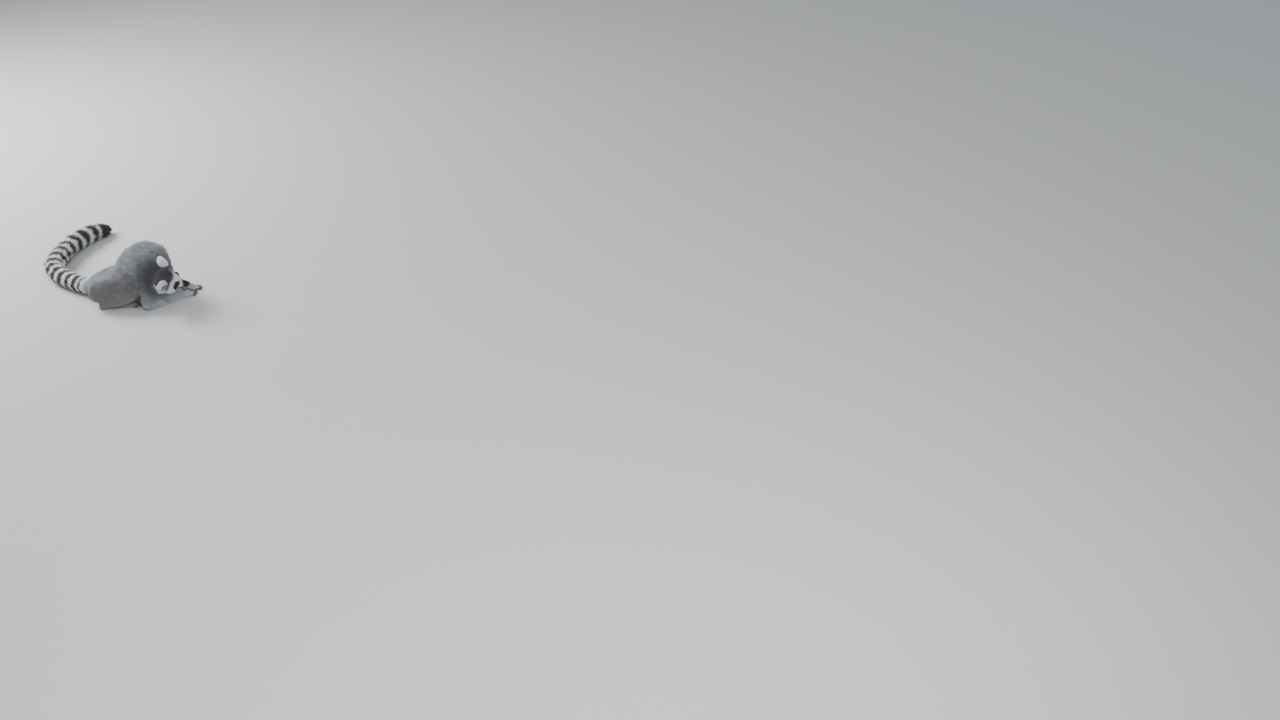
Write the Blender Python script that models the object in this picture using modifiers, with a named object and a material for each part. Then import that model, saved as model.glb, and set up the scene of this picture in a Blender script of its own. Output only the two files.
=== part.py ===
"""A ring-tailed lemur at life size, crouched with its back humped, its head bowed down to its right
over its folded forearm, and its ringed tail laid along the ground behind it and round to its left.

Metres, +Z up. The body faces roughly +X and its left is roughly +Y. The origin is the middle of the
box's foot. Trunk, legs and arms are stated in the body's own frame, where it faces +X exactly.
The flesh is one smooth body, parted in thin cuts, so that the pieces meet along narrow gaps.
"""

import math

import bmesh
import bpy
from mathutils import Matrix, Vector

PARTS, CUTTERS = "ring_tailed_lemur", "cutters"  # the collections

GAP = 0.0003  # between one piece and the next
FLESH_VOXEL, HEAD_VOXEL, FINE_VOXEL = 0.0026, 0.0017, 0.0012
# Triangles of the pieces before they are cut.
FLESH_TRIANGLES, HEAD_TRIANGLES, HAND_TRIANGLES, EAR_TRIANGLES = 2360, 860, 230, 125
SINK = 0.0008  # how far a round form dips below the ground before the ground trims it flat

# How the body's own frame lies in the model: turned to the left, then set in place.
HEADING = math.radians(20)
PLACE = Vector((-0.0032, 0.0085, 0.0))

# The trunk from the rump to the breast, in the body's frame: centre, then half length, half width
# and half height, and the pitch of the section in degrees.
TRUNK = (
    ((-0.080, 0.000, 0.0435), (0.034, 0.044, 0.0445), 10),
    ((-0.048, 0.000, 0.052), (0.042, 0.051, 0.047), 12),
    ((-0.002, 0.000, 0.074), (0.042, 0.051, 0.054), 35),
    ((0.042, 0.000, 0.103), (0.048, 0.057, 0.069), 35),
    ((0.074, 0.000, 0.114), (0.042, 0.051, 0.067), 10),
    ((0.092, -0.006, 0.100), (0.030, 0.040, 0.050), -20),
)
# The right leg and both arms in the body's frame: points on the middle line, each with its radius.
LEG = (
    ((-0.080, -0.022, 0.050), 0.040),
    ((-0.052, -0.037, 0.057), 0.038),
    ((-0.022, -0.048, 0.062), 0.033),
    ((0.000, -0.053, 0.060), 0.0275),
    ((-0.004, -0.058, 0.045), 0.0260),
    ((-0.034, -0.059, 0.035), 0.0250),
    ((-0.062, -0.053, 0.028), 0.0205),
    ((-0.079, -0.048, 0.021), 0.0165),
)
ARM_RIGHT = (
    ((0.066, -0.042, 0.110), 0.035),
    ((0.058, -0.058, 0.079), 0.030),
    ((0.051, -0.083, 0.044), 0.0245),
    ((0.0475, -0.092, 0.0215), 0.0220),
    ((0.076, -0.079, 0.0190), 0.0190),
    ((0.109, -0.062, 0.0155), 0.0160),
    ((0.130, -0.050, 0.0125), 0.0130),
)
ARM_LEFT = (
    ((0.068, 0.044, 0.108), 0.035),
    ((0.070, 0.056, 0.076), 0.029),
    ((0.073, 0.064, 0.044), 0.0240),
    ((0.076, 0.066, 0.0220), 0.0220),
    ((0.106, 0.050, 0.0185), 0.0185),
    ((0.132, 0.033, 0.0155), 0.0155),
    ((0.149, 0.021, 0.0125), 0.0128),
)
# Where each hand and foot starts, in the body's frame, and its turn to the left in degrees.
HANDS = {"right": ((0.137, -0.045, 0.0), 22), "left": ((0.155, 0.016, 0.0), -30)}
FEET = {"right": ((-0.018, -0.050, 0.0), -8), "left": ((-0.021, 0.051, 0.0), -2)}

# The rest is in the model's directions, before the shift.
NECK = (
    ((0.074, 0.030, 0.128), 0.046),
    ((0.098, 0.010, 0.106), 0.035),
    ((0.116, -0.012, 0.092), 0.031),
)
TAIL = (
    ((-0.086, 0.000, 0.0450), 0.0260),
    ((-0.118, 0.018, 0.0345), 0.0258),
    ((-0.160, 0.041, 0.0266), 0.0275),
    ((-0.205, 0.066, 0.0280), 0.0292),
    ((-0.247, 0.092, 0.0292), 0.0304),
    ((-0.283, 0.124, 0.0300), 0.0312),
    ((-0.306, 0.164, 0.0306), 0.0318),
    ((-0.317, 0.210, 0.0310), 0.0322),
    ((-0.320, 0.258, 0.0314), 0.0326),
    ((-0.318, 0.306, 0.0316), 0.0328),
    ((-0.312, 0.352, 0.0314), 0.0326),
    ((-0.301, 0.396, 0.0302), 0.0314),
    ((-0.284, 0.434, 0.0268), 0.0280),
    ((-0.266, 0.460, 0.0192), 0.0204),
)
TAIL_ROOT, TAIL_CUTS = 0.85, (3.3, 5.5, 7.6, 9.8)  # where its lengths meet, in points from its root

# The head: the middle of the skull, and how it is turned from facing +X with its crown up.
SKULL = Vector((0.1290, -0.0350, 0.0830))
HEAD_LEFT, HEAD_DOWN, HEAD_ROLL = math.radians(21), math.radians(14), math.radians(34)
# In the head's own frame, +X the nose, +Y its left: centre and radii of the forms on the middle line,
# then those that come in pairs.
HEAD_MIDDLE = (
    ((-0.006, 0, 0.0035), (0.0350, 0.0320, 0.0270)),
    ((0.017, 0, 0.0055), (0.0200, 0.0265, 0.0180)),
    ((-0.010, 0, -0.0100), (0.0280, 0.0340, 0.0240)),
    ((0.004, 0, -0.0190), (0.0220, 0.0190, 0.0110)),
)
HEAD_PAIRS = (
    ((0.0020, 0.0200, -0.0090), (0.0260, 0.0180, 0.0175)),
    ((0.0195, 0.0165, 0.0045), (0.0125, 0.0118, 0.0115)),
)
MUZZLE = (
    ((0.0200, 0, -0.0050), (0.010, 0.0190, 0.0160)),
    ((0.0340, 0, -0.0092), (0.010, 0.0138, 0.0128)),
    ((0.0460, 0, -0.0122), (0.009, 0.0110, 0.0106)),
    ((0.0545, 0, -0.0134), (0.008, 0.0094, 0.0092)),
)
JAW = (
    ((0.0100, 0, -0.0205), (0.010, 0.0165, 0.0092)),
    ((0.0300, 0, -0.0205), (0.009, 0.0112, 0.0078)),
    ((0.0480, 0, -0.0190), (0.007, 0.0072, 0.0056)),
)
NOSE = ((0.0610, 0, -0.0104), (0.0056, 0.0060, 0.0050))
EYE, EYE_RADIUS = Vector((0.0258, 0.0172, 0.0046)), 0.0078

# An ear in its own frame: +Z to its tip, +X out of its hollow. First the leaf, then the hollow in it.
EAR_LEAF = ((0, 0, 0.0190), (0.0098, 0.0165, 0.0215))
EAR_HOLLOW = ((0.0100, 0, 0.0205), (0.0124, 0.0116, 0.0155))
EAR_FOOT = {"left": Vector((-0.0080, 0.0310, 0.0125)), "right": Vector((-0.0060, -0.0300, 0.0120))}
EAR_LEAN = {"left": math.radians(24), "right": math.radians(33)}
EAR_BACK = {"left": math.radians(20), "right": math.radians(30)}
EAR_OUTWARD = {"left": math.radians(45), "right": math.radians(20)}

# Hand and foot in their own frames: +X along the middle finger, +Y towards the thumb or big toe.
# Pads on the middle line, then each digit: where it leaves, its turn in degrees, length and radius.
PALM = (((-0.004, 0.000), 0.0105), ((0.012, 0.000), 0.0115))
FINGERS = (
    ((-0.004, 0.009), 58, 0.022, 0.0040),
    ((0.016, 0.0085), 14, 0.024, 0.0037),
    ((0.019, 0.0030), 3, 0.029, 0.0038),
    ((0.018, -0.0032), -6, 0.028, 0.0038),
    ((0.014, -0.0090), -17, 0.024, 0.0036),
)
SOLE = (((-0.066, 0.000), 0.0115), ((-0.034, 0.000), 0.0105), ((-0.004, 0.001), 0.0118))
TOES = (
    ((-0.012, 0.008), 46, 0.030, 0.0048),
    ((0.004, 0.0085), 10, 0.026, 0.0038),
    ((0.007, 0.0030), 2, 0.030, 0.0039),
    ((0.006, -0.0032), -6, 0.032, 0.0039),
    ((0.002, -0.0090), -14, 0.027, 0.0037),
)
PAD_FLATNESS = 0.78  # height of a palm or sole over its width

# The boxes that free a piece from the flesh, each from its cut outwards: a point on the cut, the way
# the box runs from it, half its breadth, half its height, and its depth. The neck's is in the model's
# directions, the others in the body's frame, for the right side.
NECK_BOX = ((0.1053, 0.0061, 0.105), (0.95, -0.31, 0.0), 0.0400, 0.052, 0.070)
LEG_BOX = ((-0.0577, -0.030, 0.050), (0.0, -0.98, -0.18), 0.0823, 0.056, 0.090)
ARM_BOX = ((0.0997, -0.046, 0.080), (0.0, -0.87, -0.49), 0.0754, 0.100, 0.090)
SHANK_BOX = ((-0.045, -0.060, 0.0445), (0.24, 0.0, -0.97), 0.050, 0.110, 0.080)
FOREARM_BOX_SIZE = (0.080, 0.150, 0.120)
TAIL_ROOT_DRUM, TAIL_BOX_SIZE = (0.0360, 0.160), (0.050, 0.050)

COLOURS = {
    "coat": (0.33, 0.31, 0.29, 1.0),
    "pale_coat": (0.62, 0.61, 0.59, 1.0),
    "ringed_coat": (0.28, 0.28, 0.28, 1.0),
    "eye": (0.62, 0.26, 0.03, 1.0),
    "bare_skin": (0.02, 0.02, 0.02, 1.0),
}
ROUGHNESS = {"coat": 0.9, "pale_coat": 0.9, "ringed_coat": 0.9, "eye": 0.1, "bare_skin": 0.4}


def body_matrix():
    """From the body's own frame to the model's directions."""
    return Matrix.Translation(PLACE) @ Matrix.Rotation(HEADING, 4, "Z")


def head_matrix():
    """From the head's own frame to the model's directions."""
    turn = (
        Matrix.Rotation(HEAD_LEFT, 4, "Z")
        @ Matrix.Rotation(HEAD_DOWN, 4, "Y")
        @ Matrix.Rotation(HEAD_ROLL, 4, "X")
    )
    return Matrix.Translation(SKULL) @ turn


def other_side(stations):
    """The stations of the left limb, from those of the right."""
    return [((x, -y, z), radius) for (x, y, z), radius in stations]


def eased(before, a, b, after, t):
    """Catmull-Rom value between a and b."""
    return 0.5 * (
        2 * a
        + (b - before) * t
        + (2 * before - 5 * a + 4 * b - after) * t * t
        + (3 * a - before - 3 * b + after) * t**3
    )


def at(rows, where):
    """The numbers of a list of rows at a place between them, 0 being the first."""
    last = len(rows) - 1
    i = min(int(where), last - 1)
    near = [rows[min(max(k, 0), last)] for k in (i - 1, i, i + 1, i + 2)]
    return [eased(*four, where - i) for four in zip(*near)]


def ball(bm, centre, radii, place=None, turn=None):
    """Adds an ellipsoid to bm."""
    matrix = (place or Matrix()) @ Matrix.Translation(centre) @ (turn or Matrix())
    bmesh.ops.create_icosphere(
        bm, subdivisions=3, radius=1.0, matrix=matrix @ Matrix.Diagonal((*radii, 1))
    )


def chain(bm, stations, place=None, steps=9):
    """A round limb: balls set close together along a smooth line of (point, radius)."""
    rows = [(*point, radius) for point, radius in stations]
    for k in range((len(rows) - 1) * steps + 1):
        x, y, z, radius = at(rows, k / steps)
        ball(bm, (x, y, z), (radius,) * 3, place)


def sections(bm, stations, place=None, steps=6):
    """A mass of unlike sections: ellipsoids along a smooth line of (centre, radii[, pitch])."""
    rows = [(*s[0], *s[1], s[2] if len(s) > 2 else 0.0) for s in stations]
    for k in range((len(rows) - 1) * steps + 1):
        x, y, z, a, b, c, pitch = at(rows, k / steps)
        ball(bm, (x, y, z), (a, b, c), place, Matrix.Rotation(-math.radians(pitch), 4, "Y"))


def collection(name):
    """The scene's collection of that name, made where there is none yet."""
    found = bpy.data.collections.get(name)
    if not found:
        found = bpy.data.collections.new(name)
        bpy.context.scene.collection.children.link(found)
    return found


def from_bmesh(name, bm, group=PARTS):
    mesh = bpy.data.meshes.new(name)
    bm.to_mesh(mesh)
    bm.free()
    thing = bpy.data.objects.new(name, mesh)
    collection(group).objects.link(thing)
    return thing


def applied(thing):
    """Makes the modifiers of thing its own mesh."""
    graph = bpy.context.evaluated_depsgraph_get()
    mesh = bpy.data.meshes.new_from_object(thing.evaluated_get(graph))
    thing.modifiers.clear()
    thing.data = mesh
    return thing


def blended(name, build, voxel, smoothing, triangles, place=None, group=PARTS):
    """The forms that build adds to a bmesh, melted into one smooth solid of about so many triangles."""
    bm = bmesh.new()
    build(bm)
    if place:
        bm.transform(place)
    thing = from_bmesh(name, bm, group)
    remesh = thing.modifiers.new("melt", "REMESH")
    remesh.mode = "VOXEL"
    remesh.voxel_size = voxel
    smooth = thing.modifiers.new("smooth", "SMOOTH")
    smooth.factor = 0.5
    smooth.iterations = smoothing
    applied(thing)
    count = sum(len(face.vertices) - 2 for face in thing.data.polygons)
    decimate = thing.modifiers.new("coarser", "DECIMATE")
    decimate.ratio = min(1.0, triangles / count)
    return applied(thing)


def combined(thing, other, operation):
    """Keeps what thing and other share (INTERSECT), or takes other out of thing (DIFFERENCE)."""
    boolean = thing.modifiers.new("combine", "BOOLEAN")
    boolean.operation = operation
    boolean.solver = "EXACT"
    boolean.object = other
    return applied(thing)


def make_room(thing, neighbours):
    """Cuts thing back to a gap from each of its neighbours."""
    for neighbour in neighbours:
        wider = from_bmesh("wider", as_bmesh(neighbour), CUTTERS)
        displace = wider.modifiers.new("swell", "DISPLACE")
        displace.mid_level = 0.0
        displace.strength = GAP
        applied(wider)
        combined(thing, wider, "DIFFERENCE")
        bpy.data.objects.remove(wider)
    return largest_body(thing)


def as_bmesh(thing):
    bm = bmesh.new()
    bm.from_mesh(thing.data)
    return bm


def bodies_of(bm):
    """The separate bodies of bm, as lists of vertices, the smallest first."""
    found, seen = [], set()
    for first in bm.verts:
        if first in seen:
            continue
        body, todo = [], [first]
        seen.add(first)
        while todo:
            vertex = todo.pop()
            body.append(vertex)
            for edge in vertex.link_edges:
                other = edge.other_vert(vertex)
                if other not in seen:
                    seen.add(other)
                    todo.append(other)
        found.append(body)
    return sorted(found, key=len)


def largest_body(thing):
    """Drops the crumbs that a cut can leave."""
    bm = as_bmesh(thing)
    for crumb in bodies_of(bm)[:-1]:
        bmesh.ops.delete(bm, geom=crumb, context="VERTS")
    bm.to_mesh(thing.data)
    bm.free()
    return thing


def on_ground(thing):
    """Trims whatever dips below the ground to a small flat at its level."""
    bm = as_bmesh(thing)
    everything = [*bm.verts, *bm.edges, *bm.faces]
    cut = bmesh.ops.bisect_plane(
        bm, geom=everything, plane_co=(0, 0, 0), plane_no=(0, 0, 1), clear_inner=True
    )
    rim = [e for e in cut["geom_cut"] if isinstance(e, bmesh.types.BMEdge)]
    bmesh.ops.holes_fill(bm, edges=rim, sides=0)
    bmesh.ops.triangulate(bm, faces=bm.faces[:])
    bm.to_mesh(thing.data)
    bm.free()
    return thing


def build_head(bm):
    for centre, radii in HEAD_MIDDLE:
        ball(bm, centre, radii)
    for (x, y, z), radii in HEAD_PAIRS:
        ball(bm, (x, y, z), radii)
        ball(bm, (x, -y, z), radii)
    sections(bm, MUZZLE)
    sections(bm, JAW)


def eye_ball(name, side):
    bm = bmesh.new()
    centre = head_matrix() @ Vector((EYE.x, side * EYE.y, EYE.z))
    bmesh.ops.create_uvsphere(
        bm, u_segments=12, v_segments=8, radius=EYE_RADIUS, matrix=Matrix.Translation(centre)
    )
    return from_bmesh(name, bm)


def ear(name, side):
    """A cupped leaf that leans out from the crown, with its hollow turned outwards."""
    which = "left" if side > 0 else "right"
    place = (
        head_matrix()
        @ Matrix.Translation(EAR_FOOT[which])
        @ Matrix.Rotation(-side * EAR_LEAN[which], 4, "X")
        @ Matrix.Rotation(-EAR_BACK[which], 4, "Y")
        @ Matrix.Rotation(side * EAR_OUTWARD[which], 4, "Z")
    )
    made = blended(name, lambda bm: ball(bm, *EAR_LEAF), FINE_VOXEL, 2, EAR_TRIANGLES, place)
    hollow = blended("hollow", lambda bm: ball(bm, *EAR_HOLLOW), FINE_VOXEL, 2, 120, place, CUTTERS)
    combined(made, hollow, "DIFFERENCE")
    bpy.data.objects.remove(hollow)
    return largest_body(made)


def hand_or_foot(name, pads, digits, spot, turn):
    """A palm or sole with its digits, flat on the ground. Its thumb side is towards the middle."""
    side = -1 if spot[1] < 0 else 1

    def build(bm):
        rows = [(x, y, 0.0, radius) for (x, y), radius in pads]
        for k in range((len(rows) - 1) * 8 + 1):
            x, y, _, radius = at(rows, k / 8)
            height = radius * PAD_FLATNESS
            ball(bm, (x, y, height - SINK), (radius, radius * 1.1, height))
        for (x, y), splay, length, radius in digits:
            way = Vector((math.cos(math.radians(splay)), math.sin(math.radians(splay)), 0))
            root = Vector((x, y, 0)) - way * 0.006
            for k in range(17):
                t = k / 16
                tip_pad = 1.0 + 0.14 * math.exp(-(((t - 0.93) / 0.08) ** 2))
                thick = radius * (1.12 - 0.2 * t) * tip_pad
                arch = 0.0022 * math.sin(math.pi * min(1.0, t * 1.15))
                centre = root + way * (length + 0.006) * t + Vector((0, 0, thick - SINK + arch))
                ball(bm, centre, (thick,) * 3)

    place = (
        body_matrix()
        @ Matrix.Translation(spot)
        @ Matrix.Rotation(math.radians(turn), 4, "Z")
        @ Matrix.Diagonal((1, -side, 1, 1))
    )
    return on_ground(blended(name, build, FINE_VOXEL, 2, HAND_TRIANGLES, place))


def build_flesh(bm):
    """All of the flesh behind the head, but for hands and feet."""
    own = body_matrix()
    sections(bm, TRUNK, own)
    for stations in (LEG, other_side(LEG), ARM_RIGHT, ARM_LEFT):
        chain(bm, stations, own)
    chain(bm, NECK)
    chain(bm, TAIL)


def box(place, cut, grown):
    """A box that runs outwards from a cut, larger by grown on every side."""
    point, facing, half_breadth, half_height, depth = cut
    facing = Vector(facing).normalized()
    turn = facing.to_track_quat("Z", "Y").to_matrix().to_4x4()
    middle = Matrix.Translation(Vector(point) + facing * depth / 2)
    sizes = [2 * (half + grown) for half in (half_breadth, half_height, depth / 2)]
    bm = bmesh.new()
    bmesh.ops.create_cube(bm, size=1.0, matrix=place @ middle @ turn @ Matrix.Diagonal((*sizes, 1)))
    return from_bmesh("box", bm, CUTTERS)


def drum(point, facing, radius, depth, grown):
    """A round box from a cut outwards, larger by grown all round."""
    facing = Vector(facing).normalized()
    turn = facing.to_track_quat("Z", "Y").to_matrix().to_4x4()
    middle = Matrix.Translation(Vector(point) + facing * depth / 2)
    bm = bmesh.new()
    bmesh.ops.create_cone(
        bm,
        cap_ends=True,
        segments=20,
        radius1=radius + grown,
        radius2=radius + grown,
        depth=depth + 2 * grown,
        matrix=middle @ turn,
    )
    return from_bmesh("drum", bm, CUTTERS)


def freed(flesh, name, cutter):
    """Takes what lies inside cutter(0) out of flesh as a piece of its own, and leaves a gap round it."""
    piece = from_bmesh(name, as_bmesh(flesh))
    inner, outer = cutter(0.0), cutter(GAP)
    largest_body(combined(piece, inner, "INTERSECT"))
    largest_body(combined(flesh, outer, "DIFFERENCE"))
    bpy.data.objects.remove(inner)
    bpy.data.objects.remove(outer)
    return piece


def free_tail(flesh):
    """The lengths of the tail, from its tip to its root."""
    rows = [point for point, _ in TAIL]

    def cut_at(where):
        here, ahead = Vector(at(rows, where)), Vector(at(rows, where + 0.05))
        return here, ahead - here

    made = []
    for k, where in reversed(list(enumerate(TAIL_CUTS, start=2))):
        end = TAIL_CUTS[k - 1] if k <= len(TAIL_CUTS) else len(rows) - 1
        here, facing = cut_at(where)
        depth = (Vector(at(rows, end)) - here).length + 0.03
        cut = (here, facing, *TAIL_BOX_SIZE, depth)
        made.append(freed(flesh, f"tail_{k}", lambda grown: box(Matrix(), cut, grown)))
    here = Vector(at(rows, TAIL_ROOT))
    facing = Vector(at(rows, TAIL_CUTS[0])) - here
    made.append(freed(flesh, "tail_1", lambda grown: drum(here, facing, *TAIL_ROOT_DRUM, grown)))
    return made


def flipped(cut, side):
    """A right-hand cut for the side given: -1 keeps it, 1 mirrors it to the left."""
    point, facing, *sizes = cut
    return ((point[0], -side * point[1], point[2]), (facing[0], -side * facing[1], facing[2]), *sizes)


def free_limbs(flesh):
    """Thigh, shank, upper arm and forearm of both sides."""
    own = body_matrix()
    made = []
    for word, side, arm in (("right", -1, ARM_RIGHT), ("left", 1, ARM_LEFT)):
        thigh = freed(flesh, f"thigh_{word}", lambda grown: box(own, flipped(LEG_BOX, side), grown))
        shank = freed(thigh, f"shank_{word}", lambda grown: box(own, flipped(SHANK_BOX, side), grown))
        upper = freed(flesh, f"upper_arm_{word}", lambda grown: box(own, flipped(ARM_BOX, side), grown))
        above, elbow, beyond = (Vector(arm[k][0]) for k in (2, 3, 4))
        facing = (elbow - above).normalized() + (beyond - elbow).normalized()
        cut = (elbow, facing, *FOREARM_BOX_SIZE)
        forearm = freed(upper, f"forearm_{word}", lambda grown: box(own, cut, grown))
        made += [thigh, shank, upper, forearm]
    return made


def finish(thing, slot):
    """Gives a piece its material and its final faces."""
    material = bpy.data.materials.get(slot) or bpy.data.materials.new(slot)
    material.use_nodes = True
    surface = material.node_tree.nodes["Principled BSDF"]
    surface.inputs["Base Color"].default_value = COLOURS[slot]
    surface.inputs["Roughness"].default_value = ROUGHNESS[slot]
    surface.inputs["Metallic"].default_value = 0.0
    thing.data.materials.clear()
    thing.data.materials.append(material)
    bm = as_bmesh(thing)
    bmesh.ops.triangulate(bm, faces=bm.faces[:])
    bm.to_mesh(thing.data)
    bm.free()
    thing.data.shade_smooth()


def bring_to_origin(pieces):
    """Sets the middle of the foot of the box round all pieces at the origin."""
    corners = [v.co for piece in pieces for v in piece.data.vertices]
    low = [min(c[k] for c in corners) for k in range(3)]
    high = [max(c[k] for c in corners) for k in range(3)]
    move = Matrix.Translation((-(low[0] + high[0]) / 2, -(low[1] + high[1]) / 2, 0.0))
    for piece in pieces:
        piece.data.transform(move)


def main():
    for thing in list(bpy.data.objects):
        bpy.data.objects.remove(thing)

    hands = [hand_or_foot(f"hand_{k}", PALM, FINGERS, *HANDS[k]) for k in HANDS]
    feet = [hand_or_foot(f"foot_{k}", SOLE, TOES, *FEET[k]) for k in FEET]
    eyes = [eye_ball("eye_left", 1), eye_ball("eye_right", -1)]
    ears = [ear("ear_left", 1), ear("ear_right", -1)]
    nose = blended("nose", lambda bm: ball(bm, *NOSE), FINE_VOXEL, 1, 70, head_matrix())
    head = blended("head", build_head, HEAD_VOXEL, 3, HEAD_TRIANGLES, head_matrix())
    make_room(head, [*eyes, nose])
    for one in ears:
        make_room(one, [head])

    flesh = on_ground(blended("flesh", build_flesh, FLESH_VOXEL, 12, FLESH_TRIANGLES))
    make_room(flesh, [*hands, *feet, head, *ears])
    flesh.name = "trunk"
    tail = free_tail(flesh)
    neck = freed(flesh, "neck", lambda grown: box(Matrix(), NECK_BOX, grown))
    limbs = free_limbs(flesh)

    for thing in (head, neck, flesh, *limbs):
        finish(thing, "coat")
    for thing in tail:
        finish(thing, "ringed_coat")
    for thing in (*hands, *feet, *ears):
        finish(thing, "pale_coat")
    for thing in eyes:
        finish(thing, "eye")
    finish(nose, "bare_skin")
    bring_to_origin([*bpy.data.objects])


main()
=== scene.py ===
# %% [markdown]
# # A ring-tailed lemur in its coat
#
# The solids in the frame are the animal out to the tips of its fur. Here they are melted into one
# skin, which is drawn in by the depth of the coat, and the coat is then grown on it, lock by lock.
# Everything is in metres. Places are read from the frame or, where one solid holds several parts and
# can't tell them, worked out again from the sizes that made it.

# %% Load the frame
import math

import bmesh
import bpy
import numpy as np
from mathutils import Matrix, Vector
from mathutils.bvhtree import BVHTree


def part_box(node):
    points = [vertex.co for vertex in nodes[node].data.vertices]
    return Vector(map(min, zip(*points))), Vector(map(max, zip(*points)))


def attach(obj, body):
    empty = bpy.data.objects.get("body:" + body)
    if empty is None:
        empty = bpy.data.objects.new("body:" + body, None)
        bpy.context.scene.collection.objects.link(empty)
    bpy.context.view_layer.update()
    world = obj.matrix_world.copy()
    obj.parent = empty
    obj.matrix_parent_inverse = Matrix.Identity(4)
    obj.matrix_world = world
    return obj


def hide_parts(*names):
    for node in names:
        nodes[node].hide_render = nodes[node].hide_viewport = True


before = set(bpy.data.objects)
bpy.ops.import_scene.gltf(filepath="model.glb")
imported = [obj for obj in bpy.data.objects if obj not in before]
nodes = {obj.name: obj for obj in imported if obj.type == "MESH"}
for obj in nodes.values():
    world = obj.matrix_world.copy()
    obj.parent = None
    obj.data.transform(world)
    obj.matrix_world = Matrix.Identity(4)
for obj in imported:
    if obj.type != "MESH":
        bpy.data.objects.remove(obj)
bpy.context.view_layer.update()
rng = np.random.default_rng(7)
MM = 0.001
SHARE = 1.0  # how much of the coat is grown

# %% [markdown]
# ## Directions
#
# Fur lies the way the animal's own directions run, so the script first needs those. The eyes and the
# nose fix the head. The middles of the other nodes tell which way each limb runs.

# %% The head's own directions
NOSE_ANGLE = math.radians(23.1)  # how far the nose lies below the line of sight
EYES_FORWARD, EYES_UP = 0.0258, 0.0046  # from the middle of the skull


def middle(*names):
    """The middle of the boxes of some nodes."""
    corners = [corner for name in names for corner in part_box(name)]
    return sum(corners, Vector()) / len(corners)


def head_place():
    """The matrix from the head's own frame, +X the line of sight and +Y its left, to the model's."""
    left = (middle("eye_left") - middle("eye_right")).normalized()
    between = middle("eye_left", "eye_right")
    to_nose = middle("nose") - between
    to_nose = (to_nose - left * to_nose.dot(left)).normalized()
    forward = Matrix.Rotation(-NOSE_ANGLE, 3, left) @ to_nose
    up = forward.cross(left)
    turn = Matrix((forward, left, up)).transposed().to_4x4()
    return Matrix.Translation(between - forward * EYES_FORWARD - up * EYES_UP) @ turn


HEAD = head_place()
HEAD_AXES = np.array(HEAD.to_3x3())
HEAD_MIDDLE = np.array(HEAD.translation)


def in_head(points):
    """Points of the model, in the head's own frame."""
    return (points - HEAD_MIDDLE) @ HEAD_AXES


def eased(low, high, values):
    """0 below low, 1 above high and an easy curve between."""
    t = np.clip((values - low) / (high - low), 0, 1)
    return t * t * (3 - 2 * t)


print("the skull is at", [round(x, 4) for x in HEAD.translation])

# %% [markdown]
# On the back the fur runs from the shoulders to the hips and down the sides, and on the limbs along
# the limb. One direction for each node is enough here, because they are averaged over the skin later.

# %% The way the coat lies on each node
LIMBS = ("upper_arm", "forearm", "hand", "thigh", "shank", "foot", "ear")
SIDES = ("left", "right")
TAILS = [f"tail_{k}" for k in range(1, 6)]
FLESH = ["head", "neck", "trunk", *TAILS, *(f"{limb}_{side}" for limb in LIMBS for side in SIDES)]
DOWN = Vector((0, 0, -1))
shoulders = middle("upper_arm_left", "upper_arm_right")
hips = middle("thigh_left", "thigh_right")
BACKWARD = ((hips - shoulders) * Vector((1, 1, 0))).normalized()
LIE = {
    "neck": middle("trunk") - middle("head"),
    "trunk": BACKWARD + DOWN * 0.45,
}
for side in SIDES:
    LIE[f"upper_arm_{side}"] = DOWN + BACKWARD * 0.35
    LIE[f"forearm_{side}"] = middle(f"hand_{side}") - middle(f"forearm_{side}")
    LIE[f"hand_{side}"] = middle(f"hand_{side}") - middle(f"forearm_{side}")
    LIE[f"thigh_{side}"] = BACKWARD * 0.7 + DOWN * 0.7
    LIE[f"shank_{side}"] = BACKWARD + DOWN * 0.15
    LIE[f"foot_{side}"] = -BACKWARD
    LIE[f"ear_{side}"] = middle(f"ear_{side}") - Vector(HEAD.translation)
print("the coat has its own way on", len(LIE), "nodes")

# %% [markdown]
# The tail is five nodes laid in a curve, and its rings have to cross it squarely, so its middle is
# needed as one line. A line through the middles of the five boxes would cut the corners. So it is
# pulled a few times to the mean of the points round each of its places, and then rounded off.

# %% The line along the middle of the tail
LINE_STEPS = 60
WINDOW = 0.025  # stretch of tail over which its middle is averaged
MARKS = 15  # places along the tail at which its middle is looked for
TAIL_STUB = 0.55  # how far the tail's root lies before the middle of its first node, in nodes


def tail_line():
    """Points along the middle of the tail, from its root to its tip."""
    points = np.array([v.co for name in TAILS for v in nodes[name].data.vertices])
    stops = [middle(name) for name in TAILS]
    root = stops[0] + (stops[0] - stops[1]) * TAIL_STUB
    tip = max((v.co for v in nodes[TAILS[-1]].data.vertices), key=lambda p: (p - stops[-2]).length)
    line = np.array([root, *stops, tip])
    for _ in range(3):
        where, _ = along(line, points)
        marks = np.linspace(0, where.max(), MARKS)[1:-1]
        weights = np.exp(-(((where - marks[:, None]) / WINDOW) ** 2))
        line = np.array([root, *(weights @ points / weights.sum(1, keepdims=True)), tip])
    return resampled(line, LINE_STEPS)


def marks_of(line):
    """The distance along a line at which each of its points lies."""
    return np.concatenate([[0], np.cumsum(np.linalg.norm(np.diff(line, axis=0), axis=1))])


def on_line(line, where):
    """The points of a line at distances along it."""
    return np.stack([np.interp(where, marks_of(line), line[:, k]) for k in range(3)], 1)


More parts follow.
